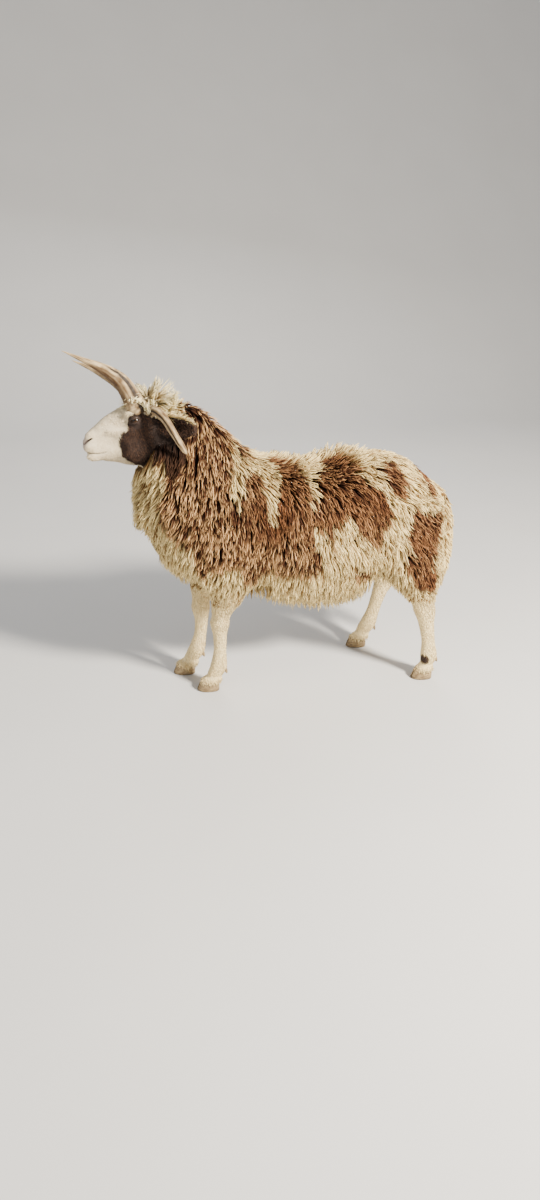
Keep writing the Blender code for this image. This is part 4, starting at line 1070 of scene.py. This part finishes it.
def tuft_mesh(name, path, up, half, crest, attributes, unwrap):
    """Joined tufts: each runs along its path with a three-sided section, two edges and a crest
    over the middle, closes at its root and ends in a point.

    path is (tufts, stations, 3), up the direction of the crest, half and crest its sizes; unwrap
    gives a root's place on the map, where the tuft takes up a small oblong."""
    count, stations = path.shape[:2]
    along = unit(np.gradient(path, axis=1))
    across = unit(np.cross(along, up))
    top = np.cross(across, along)
    ring = np.stack([path[:, :-1] - across[:, :-1] * half[:, :-1, None],
                     path[:, :-1] + top[:, :-1] * crest[:, :-1, None],
                     path[:, :-1] + across[:, :-1] * half[:, :-1, None]], 2)
    points = np.concatenate([ring.reshape(count, -1, 3), path[:, -1:]], 1)
    size = points.shape[1]
    tip = size - 1
    last = tip - 3
    ends = np.array([(last, tip, last + 1), (last + 1, tip, last + 2), (last + 2, tip, last), (0, 1, 2)])
    base = (np.arange(count) * size)[:, None, None]
    faces = [(grid_quads(stations - 1, 3) + base).reshape(-1, 4), (ends + base).reshape(-1, 3)]
    t = np.append(np.repeat(np.linspace(0, 1, stations)[:-1], 3), 1.0)
    marks = {"reach": np.tile(t, count)}
    marks.update((key, np.repeat(values, size)) for key, values in attributes.items())
    made = new_mesh(name, points.reshape(-1, 3), faces, attributes=marks)
    spot = unwrap(path[:, 0])
    corner = np.stack([t * 0.003, np.append(np.tile((0.0, 0.0015, 0.003), stations - 1), 0.0015)], 1)
    flat = (spot[:, None] * 0.99 + corner[None]).reshape(-1, 2)
    layer = made.data.uv_layers.new(name="OFBake")
    corners = np.empty(len(made.data.loops), np.int32)
    made.data.loops.foreach_get("vertex_index", corners)
    layer.data.foreach_set("uv", flat[corners].astype(np.float32).ravel())
    return made


def round_axis(p, low, high, axis, centre):
    """An unwrap of the skin: how far along its axis, and the angle round it, both from 0 to 1."""
    u, v = (k for k in (0, 1, 2) if k != axis)
    spot = np.clip((p[:, axis] - low) / (high - low), 0, 1)
    angle = np.arctan2(p[:, v] - centre[1], p[:, u] - centre[0]) / (2 * np.pi) + 0.5
    return np.column_stack([spot, angle])


LOCK, CRIMP = 0.016, 0.042  # spacing of the locks, and length of one wave in a staple
STATIONS = np.array((0.0, 0.29, 0.53, 0.73, 0.89, 1.0))  # shares of a staple's length
FORM = np.array((0.70, 1.0, 0.95, 0.72, 0.40, 0.0))  # its width there


def wool(root, length, height, half, stand, puff, gather):
    """Paths of wool staples: each leaves its root at a slant, rises to its height over the skin,
    turns to lie along the fall of the coat and waves with the crimp; neighbours in one lock
    lean by gather to a common tip. stand is how far it stands off instead, puff how soon it
    reaches its height, and below the belly it hangs."""
    count = len(root)
    cell = np.floor(root / LOCK)
    lock_spot = (cell + 0.5 + 0.45 * wander(cell, 1.7, 21)) * LOCK
    n = outward(root)
    at = root
    swing = (0.50 * waver(root, 0.055, 31) + 0.5 * waver(lock_spot, LOCK, 32)
             + 0.10 * rng.standard_normal(count))
    parting = np.clip(root[:, 1] / 0.028 + 1.1 * waver(lock_spot, 0.012, 34), -1, 1)
    path, tops = [root - n * 0.002], [n]
    lean = along_skin(lock_spot - root, n)
    upright = unit(n * 0.8 + (0.34, 0.0, 0.50) + 0.35 * wander(lock_spot, 0.02, 35))
    for a, b in zip(STATIONS, STATIONS[1:]):
        way = lie(at, n, parting)
        way = unit(way + np.cross(way, n) * (swing * (1 - 0.5 * b))[:, None])
        way = unit(way * (1 - stand)[:, None] + upright * stand[:, None])
        hang = (ramp(-n[:, 2], 0.10, 0.55) * (1 - ramp(root[:, 2], 0.42, 0.50)))[:, None]
        go = unit(way * (1 - hang) + unit(way * 0.3 + (0, 0, -1)) * hang)
        at = at + go * (length * (b - a))[:, None]
        n = outward(at)
        rise = height * (0.12 + 0.93 * b + puff * (1 - b))
        fix = (rise - skin_depth(at)) * (1 - hang[:, 0]) * (1 - stand) ** 2
        at = at + n * np.clip(fix, -0.03, 0.05)[:, None]
        path.append(at)
        tops.append(n)
    path, tops = np.stack(path, 1), np.stack(tops, 1)
    path = path + lean[:, None] * (gather[:, None, None] * STATIONS[:, None] ** 1.6)
    along = unit(np.gradient(path, axis=1))
    side = unit(np.cross(along, tops))
    phase = rng.random((count, 1)) * 2.5 + waver(lock_spot, 0.02, 33)[:, None] * 4
    bend = phase + STATIONS * (length / CRIMP)[:, None] * 6.28
    size = (half * 0.70)[:, None] * ramp(STATIONS, 0.1, 0.5)
    path = path + side * (np.sin(bend) * size)[..., None] + tops * (np.cos(bend) * size * 0.7)[..., None]
    return path, tops, half[:, None] * FORM, half[:, None] * FORM * 0.7


CROWN_TIP = (1.0, 0.88, 0.55)
DARK_ROOT_SHADED, DARK_TIP = (0.006, 0.0035, 0.003), (0.070, 0.032, 0.016)
FIBRE_TINT = (0.30, 0.20, 0.12)

# Each staple darkens from its tip down to its root: the lighter tips are partly the wool's own bleaching,
# and the dark roots partly painted shade deep in the fleece.
wool_finish = Finish("fleece", roughness=0.70, Specular_IOR_Level=0.12)
reach = wool_finish.number("reach")
shade = wool_finish.number("shade")
fibres = wool_finish.noise(0.0014, 2.0, wool_finish.stretched((1.0, 1.0, 0.16)))
cream_tip = wool_finish.mix(wool_finish.number("pale"), CREAM_TIP, CROWN_TIP)
cream_wool = wool_finish.mix((reach * 1.35 + shade - 0.80).step(0.0, 1.0), CREAM_ROOT_SHADED, cream_tip)
brown_wool = wool_finish.mix(reach.step(0.25, 0.75), BROWN_DEEP, BROWN_MID)
sunned = wool_finish.mix(wool_finish.number("bleach"), BROWN_TIP, BLEACHED)
brown_wool = wool_finish.mix((reach - 0.87 + shade * 0.60).step(0.0, 0.50), brown_wool, sunned)
dark_wool = wool_finish.mix(reach, DARK_ROOT_SHADED, DARK_TIP)
wool_colour = wool_finish.mix(wool_finish.number("brown"), cream_wool, brown_wool)
wool_colour = wool_finish.mix(wool_finish.number("dark"), wool_colour, dark_wool)
streaked = (fibres - 0.5) * 1.1 + shade * 0.20
wool_colour = wool_finish.mix(streaked, wool_colour, FIBRE_TINT, blend="SOFT_LIGHT")
wool_finish.finish(wool_colour, height=fibres, strength=0.8, distance=0.002)

UPPER_ROOT = (-0.057, -0.030, 0.058)  # where the left one of the upper horns leaves the head


def fleece_share(p):
    """Where wool grows, from 0 on face, ears, shanks and the roots of the horns to 1 on the body."""
    h = in_head(p)
    under_jaw = (h[:, 2] < -0.092) & (np.abs(h[:, 1]) < 0.060) & (h[:, 0] > -0.062)
    face = (h[:, 0] < np.minimum(-0.036 + 0.5 * (h[:, 2] + 0.09), 0.006)) & ~under_jaw
    poll = (h[:, 2] > 0.056 + 0.4 * np.maximum(np.abs(h[:, 1]) - 0.022, 0)) & (h[:, 0] > -0.078)
    by_ear = (np.abs(h[:, 0] - 0.014) < 0.042) & (np.abs(h[:, 2] - 0.010) < 0.034)
    by_ear &= np.abs(h[:, 1]) > 0.026
    by_horn = np.linalg.norm(on_left(h) - UPPER_ROOT, axis=1) < 0.020
    by_horn |= np.linalg.norm(on_left(h) - SIDE_HORN[1], axis=1) < 0.009
    hock = np.where(p[:, 0] < -0.1, 0.290, 0.275)
    return ((~face | poll) & ~by_ear & ~by_horn & (p[:, 2] > hock)).astype(float)


def crown_share(p):
    """The poll between and behind the horns, where the wool grows thickest."""
    h = in_head(p)
    return fleece_share(p) * (h[:, 0] < 0.046) * (h[:, 2] > 0.035)


BODY_SPACING, CROWN_SPACING = 0.0054, 0.0036
roots = np.vstack([scattered(BODY_SPACING, lambda p: fleece_share(p) - crown_share(p)),
                   scattered(CROWN_SPACING, crown_share)])
normals = outward(roots)
h = in_head(roots)
count = len(roots)
chance = rng.standard_normal(count)
x, y, z = roots.T

# The regions of the coat, each from 0 to 1
low_leg = ((x < -0.12) & (z < 0.41) & (np.abs(y) > 0.035)) | ((x > 0.17) & (z < 0.44))
leg_fade = np.where(x < 0, 0.75 * ramp(z, 0.300, 0.42), ramp(z, 0.265, 0.42))
on_tail = (x > 0.398) & (np.abs(y) < 0.045)
on_crown = (h[:, 0] < 0.046) & (h[:, 2] > 0.035)
toward_head = 1 - ramp(np.linalg.norm(roots - (HEAD_JOINT - (0.02, 0, 0)), axis=1), 0.08, 0.32)
under = ramp(-normals[:, 2], -0.15, 0.45) * ramp(x, -0.22, -0.05) * (1 - ramp(x, 0.20, 0.32))
breast = ramp(-normals[:, 0], 0.15, 0.65) * np.exp(-(((z - 0.430) / 0.075) ** 2))
rump = ramp(normals[:, 0], 0.15, 0.8) * (x > 0.2)
elbow = ramp(x, -0.37, -0.33) * (1 - ramp(x, -0.20, -0.15)) * (1 - ramp(z, 0.44, 0.52))
top_line = ramp(normals[:, 2], 0.62, 0.95)
throat = ramp(-normals[:, 0], 0.1, 0.6) * np.exp(-(((z - 0.645) / 0.050) ** 2)) * (x < -0.36)
puff = 0.40 * ramp(z, 0.625, 0.675) * (x < -0.36) * ramp(-normals[:, 0], 0.0, 0.4)
nape = ramp(normals[:, 2], 0.1, 0.6) * ramp(x, -0.46, -0.42) * (1 - ramp(x, -0.28, -0.20)) * (z > 0.68)
ridge = top_line * np.exp(-(((x - 0.06) / 0.09) ** 2)) * (chance > 0.7)
saddle = top_line * np.exp(-(((x + 0.11) / 0.06) ** 2))
croup = top_line * ramp(x, 0.10, 0.18)

# How long the staples are, and how high over the skin the coat's outside lies
STAPLE, COAT, CROWN_STAPLE = 0.068, 0.029, 0.058
length = (STAPLE - 0.014 * toward_head + 0.030 * under - 0.026 * rump - 0.018 * elbow
          - 0.018 * top_line + 0.018 * ridge)
height = (COAT + 0.028 * breast - 0.004 * throat - 0.019 * rump - 0.004 * elbow - 0.010 * nape
          - 0.018 * croup + 0.011 * saddle)
length = np.where(low_leg, 0.022 + 0.042 * leg_fade, length)
height = np.where(low_leg, 0.003 + 0.018 * leg_fade, height)
length = np.where(on_tail, 0.038, length)
height = np.where(on_tail, 0.004, height)
brow = 1 - ramp(h[:, 0], -0.078, -0.045)
behind = ramp(h[:, 0], -0.006, 0.034)
temple = ramp(np.abs(h[:, 1]), 0.018, 0.034) * (1 - ramp(h[:, 0], -0.005, 0.020))
tall = (CROWN_STAPLE + 0.014 * waver(roots, 0.015, 44)) * (1 - 0.6 * brow - 0.55 * behind)
length = np.where(on_crown, tall * (1 - 0.50 * temple), length)
height = np.where(on_crown, 0.030 * (1 - 0.75 * brow) * (1 - 0.5 * temple), height)

# How far the staples stand off the skin, how thick they are and how far they gather into locks
stand = 0.22 * top_line + 0.40 * ridge * (1 + 0.5 * waver(roots, 0.03, 45))
stand = stand * (1 - toward_head) * (1 - 0.8 * nape)
stand = np.where(on_crown, (0.55 + 0.30 * waver(roots, 0.018, 43)) * (1 - 0.7 * brow), stand)
length = length * (1 + 0.10 * chance)
height = height * (1 + 0.14 * waver(roots, 0.018, 41) + 0.08 * rng.standard_normal(count))
half = (0.0028 - 0.0005 * toward_head) * (1 + 0.18 * rng.standard_normal(count))
half = np.where(on_crown, 0.0019 * (1 + 0.2 * rng.standard_normal(count)), half)
half = np.clip(np.where(low_leg, 0.0021 + 0.001 * leg_fade, half), 0.0014, 0.0050)
gather = np.where(on_crown, 1.05, 0.85)
path, tops, halves, crests = wool(roots, length, height, half, stand, puff, gather)

# The crown's wool grows round the horns: what would lie inside one moves out to its wall
SPINE_STEPS, SPINE_LOW = 80, 48  # steps along a horn's line, and how many of them wool can reach
for line, thick in ((UPPER_HORNS["left"], UPPER_HORN_HALF), (UPPER_HORNS["right"], UPPER_HORN_HALF),
                    (SIDE_HORN, SIDE_HORN_HALF), (np.array(SIDE_HORN) * (1, -1, 1), SIDE_HORN_HALF)):
    spine = through(line, SPINE_STEPS)[:SPINE_LOW]
    thick = thick * (1 - np.linspace(0, 1, SPINE_STEPS)[:SPINE_LOW] ** 1.7)
    staple = in_head(path[on_crown].reshape(-1, 3))
    off = staple[:, None] - spine[None]
    far = np.linalg.norm(off, axis=2)
    near = (far - thick).argmin(1)
    pick = np.arange(len(near))
    push = np.clip(thick[near] * 0.97 + 0.0006 - far[pick, near], 0, None) / far[pick, near]
    staple = staple + off[pick, near] * push[:, None]
    path[on_crown] = (HEAD_JOINT + staple @ HEAD_TURN.T).reshape(-1, path.shape[1], 3)

# A staple's colours are those of the markings where its outer half shows
outer = path[:, 3]
brown, dark, _ = markings(outer)
brown, dark = brown * ~(on_crown & (h[:, 0] < 0.02)), dark * ~on_crown
shade = np.clip(0.5 + 0.28 * rng.standard_normal(count) + 0.30 * waver(roots, 0.02, 42), 0, 1)
shade = np.where(on_crown, 0.8 + 0.4 * shade, shade + 0.3 * on_tail)
bleach = np.clip(0.12 + 0.88 * np.maximum(ramp(-outer[:, 2], -0.56, -0.40) * (x < 0.2), ramp(-x, 0.16, 0.30))
                 + 0.3 * waver(outer, 0.06, 46), 0, 1)
pieces = {
    "fleece_neck": (x < -0.30) & (z > 0.56),
    "fleece_chest": (x < -0.21) & (z <= 0.56) & (z > 0.34),
    "fleece_forearms": (x < -0.12) & (z <= 0.34),
    "fleece_tail": on_tail,
    "fleece_left_ribs": (y < 0) & (x < 0.03),
    "fleece_right_ribs": (y >= 0) & (x < 0.03),
    "fleece_left_loin": (y < 0) & (x < 0.22),
    "fleece_right_loin": (y >= 0) & (x < 0.22),
    "fleece_left_thigh": y < 0,
    "fleece_right_thigh": y >= 0,
}
left_over = np.ones(count, bool)
for name, members in pieces.items():
    members = members & left_over
    left_over &= ~members
    own = {"brown": brown[members], "dark": dark[members], "shade": shade[members],
           "bleach": bleach[members], "pale": on_crown[members].astype(float)}
    low, high = x[members].min(), x[members].max()
    centre = roots[members].mean(0)
    tufts = tuft_mesh(name, path[members], tops[members], halves[members], crests[members], own,
                      lambda p: round_axis(p, low, high, 0, (centre[1], centre[2])))
    tufts.data.materials.append(wool_finish.material)
    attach(tufts, "root")

# The short hair of face and shanks: flat, glossy kemp hair that falls back from the nose over
# the cheeks and down the legs, a little longer at the jaw and round the top of each hoof.
HAIR_STATIONS = np.array((0.0, 0.5, 1.0))[None, :, None]
HAIR_FORM = np.array((0.9, 1.0, 0.0))


def short_hair(name, spacing, keep, size, centre):
    """Tufts of short hair where keep allows; size gives length, half width and lift at a root,
    and centre is where the upright axis of the unwrap stands."""
    root = scattered(spacing, keep)
    n = outward(root)
    length, half, lift = size(root)
    up = np.maximum((n @ HEAD_TURN)[:, 2], 0)
    face_way = np.column_stack([0.55 - 1.3 * up, 0.5 * up * np.sign(root[:, 1]), -0.85 + 0 * up])
    way = np.where((root[:, 2] > 0.5)[:, None], face_way @ HEAD_TURN.T, (0.10, 0, -1))
    way = way + 0.35 * wander(root, 0.012, 51)
    way = unit(along_skin(way, n))
    run = length[:, None, None] * HAIR_STATIONS
    rise = lift[:, None, None] * HAIR_STATIONS**0.8
    path = (root - n * 0.0006)[:, None] + way[:, None] * run + n[:, None] * rise
    tops = np.repeat(n[:, None], 3, 1)
    form = half[:, None] * HAIR_FORM
    brown, dark, bare = markings(root)
    warm = (root[:, 2] < 0.5).astype(float)
    # The dark hair behind the eye, under the horns and the ear, is darkened as painted shade.
    shade_behind_eye = ramp(in_head(root)[:, 0], -0.034, -0.006) * (1 - warm)
    own = {"brown": brown, "dark": dark, "bare": bare, "warm": warm,
           "shade": rng.random(len(root)) * (1 - 0.85 * shade_behind_eye)}
    low, high = root[:, 2].min(), root[:, 2].max()
    tufts = tuft_mesh(name, path, tops, form, form * 0.45, own,
                      lambda p: round_axis(p, low, high, 2, centre))
    tufts.data.materials.append(hair_finish.material)
    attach(tufts, "root")


HAIR_SHADE, CHEEK_TIP = (0.60, 0.44, 0.22), (0.130, 0.062, 0.033)
hair_finish = Finish("short_hair", roughness=0.62, Specular_IOR_Level=0.25)
tip = hair_finish.number("reach")
spread = hair_finish.number("shade")
hair_noise = hair_finish.noise(0.0015)
white_hair = hair_finish.mix(hair_finish.number("warm"), FACE_WHITE, LEG_CREAM)
white_hair = hair_finish.mix(spread * 0.5 + hair_noise * 0.2, white_hair, HAIR_SHADE)
hair = hair_finish.mix(hair_finish.number("brown"), white_hair, BROWN_MID)
dark_hair = hair_finish.mix(tip * spread, CHARCOAL, CHEEK_TIP)
hair = hair_finish.mix(hair_finish.number("dark"), hair, dark_hair)
hair = hair_finish.mix(hair_finish.number("bare") * 0.5, hair, MUZZLE)
hair_finish.finish(hair, height=hair_noise, strength=0.3, distance=0.0008)


def on_face(p):
    """Where the face has hair: clear of eyes, mouth and nostrils, and thin on the bare muzzle."""
    h = in_head(p)
    eye = np.linalg.norm(on_left(h) - EYE_CENTRE, axis=1)
    bald = np.clip(1 - markings(p)[2], 0.15, 1)
    mouth, nostril = slits(h)
    clear = (eye > 0.0175) & ((mouth > 0.0022) & (nostril > 0.0030) | (h[:, 0] > -0.13))
    return ((h[:, 0] < 0.035) & (h[:, 2] > -0.15) & clear & (p[:, 2] > 0.64)) * bald


def face_size(root):
    """Length, half width and lift of the face's hair, longest at the jaw and short by the eye."""
    h = in_head(root)
    back = ramp(h[:, 0], -0.17, -0.02)
    jaw = ramp(-h[:, 2], 0.05, 0.09)
    near_eye = 1 - ramp(np.abs(np.linalg.norm(np.abs(h) - (0.060, 0.0425, 0.028), axis=1) - 0.018), 0, 0.012)
    length = (0.0055 + 0.0045 * back + 0.003 * jaw) * (1 - 0.35 * near_eye)
    length = length * (1 + 0.15 * rng.standard_normal(len(root)))
    return length, 0.00072 + 0.0002 * back, length * (0.16 + 0.12 * jaw + 0.06 * back)


def on_shank(p):
    """Where the legs have short hair: below the wool of hock and forearm."""
    hock = np.where(p[:, 0] < -0.1, 0.325, 0.310)
    return (p[:, 2] < hock).astype(float)


def shank_size(root):
    """Length, half width and lift of the legs' hair, longer below the wool and over the hoof."""
    top = ramp(root[:, 2], 0.20, 0.30)
    foot = 1 - ramp(root[:, 2], 0.032, 0.055)
    length = (0.0095 + 0.006 * top + 0.003 * foot) * (1 + 0.15 * rng.standard_normal(len(root)))
    return length, 0.00105 + 0.0004 * top, length * (0.15 + 0.10 * top + 0.05 * foot)


FACE_SPACING, SHANK_SPACING = 0.0026, 0.0040
short_hair("face_hair", FACE_SPACING, on_face, face_size, (HEAD_JOINT[0] - 0.08, 0.0))
short_hair("leg_hair", SHANK_SPACING, on_shank, shank_size, (0.0, 0.0))

# The ears' hair: black tufts laid towards the tip inside and out, and a pale fringe along the
# upper rim near it.
for side, name in ((-1, "left"), (1, "right")):
    for kind, number in (("outer", 1200), ("inner", 900), ("fringe", 340)):
        fringe = kind == "fringe"
        t = 0.12 + 0.85 * rng.random(number) if fringe else 0.08 + 0.88 * rng.random(number) ** 0.9
        share = np.full(number, -0.97) if fringe else rng.uniform(-0.97, 0.97, number)
        root, way_out = ear_blade(t, share)
        face_out = way_out * (-1 if kind == "inner" else 1)
        root = root + face_out * 0.0022
        along = ear_way + 0.35 * rng.standard_normal((number, 3)) + face_out * 0.15
        if fringe:
            along = ear_way * 0.75 + ear_across * share[:, None] * 0.55
            along = along + 0.30 * rng.standard_normal((number, 3))
        long = (0.013 + 0.014 * (1 - t) if fringe else 0.011) * (1 + 0.25 * rng.standard_normal(number))
        path = root[:, None] + unit(along)[:, None] * long[:, None, None] * HAIR_STATIONS
        path = path + face_out[:, None] * 0.0015 * HAIR_STATIONS
        path = path - (0.0, 0.0, 0.005 if fringe else 0.0) * HAIR_STATIONS**2
        own = {"brown": np.zeros(number), "dark": np.full(number, 0.0 if fringe else 1.0),
               "bare": np.zeros(number), "shade": rng.random(number), "warm": np.full(number, float(fringe))}
        form = np.full((number, 1), 0.0005 if fringe else 0.0009) * HAIR_FORM
        mirrored = np.stack([in_place(path[:, k], side) for k in range(3)], 1)
        tops = np.repeat((face_out * (1, -1 if side > 0 else 1, 1) @ HEAD_TURN.T)[:, None], 3, 1)
        hair_piece = tuft_mesh("ear_" + name + "_hair_" + kind, mirrored, tops, form, form * 0.45, own,
                               lambda p: np.column_stack([t, share / 2 + 0.5]))
        hair_piece.data.materials.append(hair_finish.material)
        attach(hair_piece, "root")

# The floor and the light: a plain pale floor that curves up behind, a broad key from the right
# as the sun stood, and a soft fill all round.
floor_x, floor_y = np.meshgrid(np.linspace(-6, 6, 25), np.linspace(-4, 6, 61), indexing="ij")
FLOOR_TURN = 3.0  # where the floor begins to curve up
floor_z = np.where(floor_y > FLOOR_TURN, (floor_y - FLOOR_TURN) ** 2 * 0.35, 0.0)
floor = new_mesh("floor", np.stack([floor_x, floor_y, floor_z], -1).reshape(-1, 3),
                 grid_quads(*floor_x.shape, cols_close=False))
floor_finish = Finish("floor", roughness=0.9)
floor_grain = floor_finish.noise(0.4)
floor_finish.finish(floor_finish.mix(floor_grain, (0.62, 0.61, 0.59), (0.67, 0.66, 0.64)))
floor.data.materials.append(floor_finish.material)

world = bpy.data.worlds.new("studio")
bpy.context.scene.world = world
world.use_nodes = True
background = world.node_tree.nodes["Background"]
background.inputs["Color"].default_value = (0.97, 0.97, 1.0, 1)
background.inputs["Strength"].default_value = 0.42
for name, spot, size, power, colour in (
    ("key", (1.7, -2.3, 2.5), 0.55, 470, (1.0, 0.93, 0.82)),
    ("fill", (-3.2, -2.2, 2.2), 2.5, 40, (0.90, 0.95, 1.0)),
    ("back", (0.5, 3.2, 3.0), 2.0, 80, (1.0, 0.98, 0.95)),
):
    lamp = bpy.data.lights.new(name, "AREA")
    lamp.size = size
    lamp.energy = power
    lamp.color = colour
    lamp_object = bpy.data.objects.new(name, lamp)
    bpy.context.scene.collection.objects.link(lamp_object)
    lamp_object.location = spot
    away = unit(np.array(spot) - (0, 0, 0.45))
    lamp_object.rotation_euler = (np.arccos(away[2]), 0, np.arctan2(away[0], -away[1]))
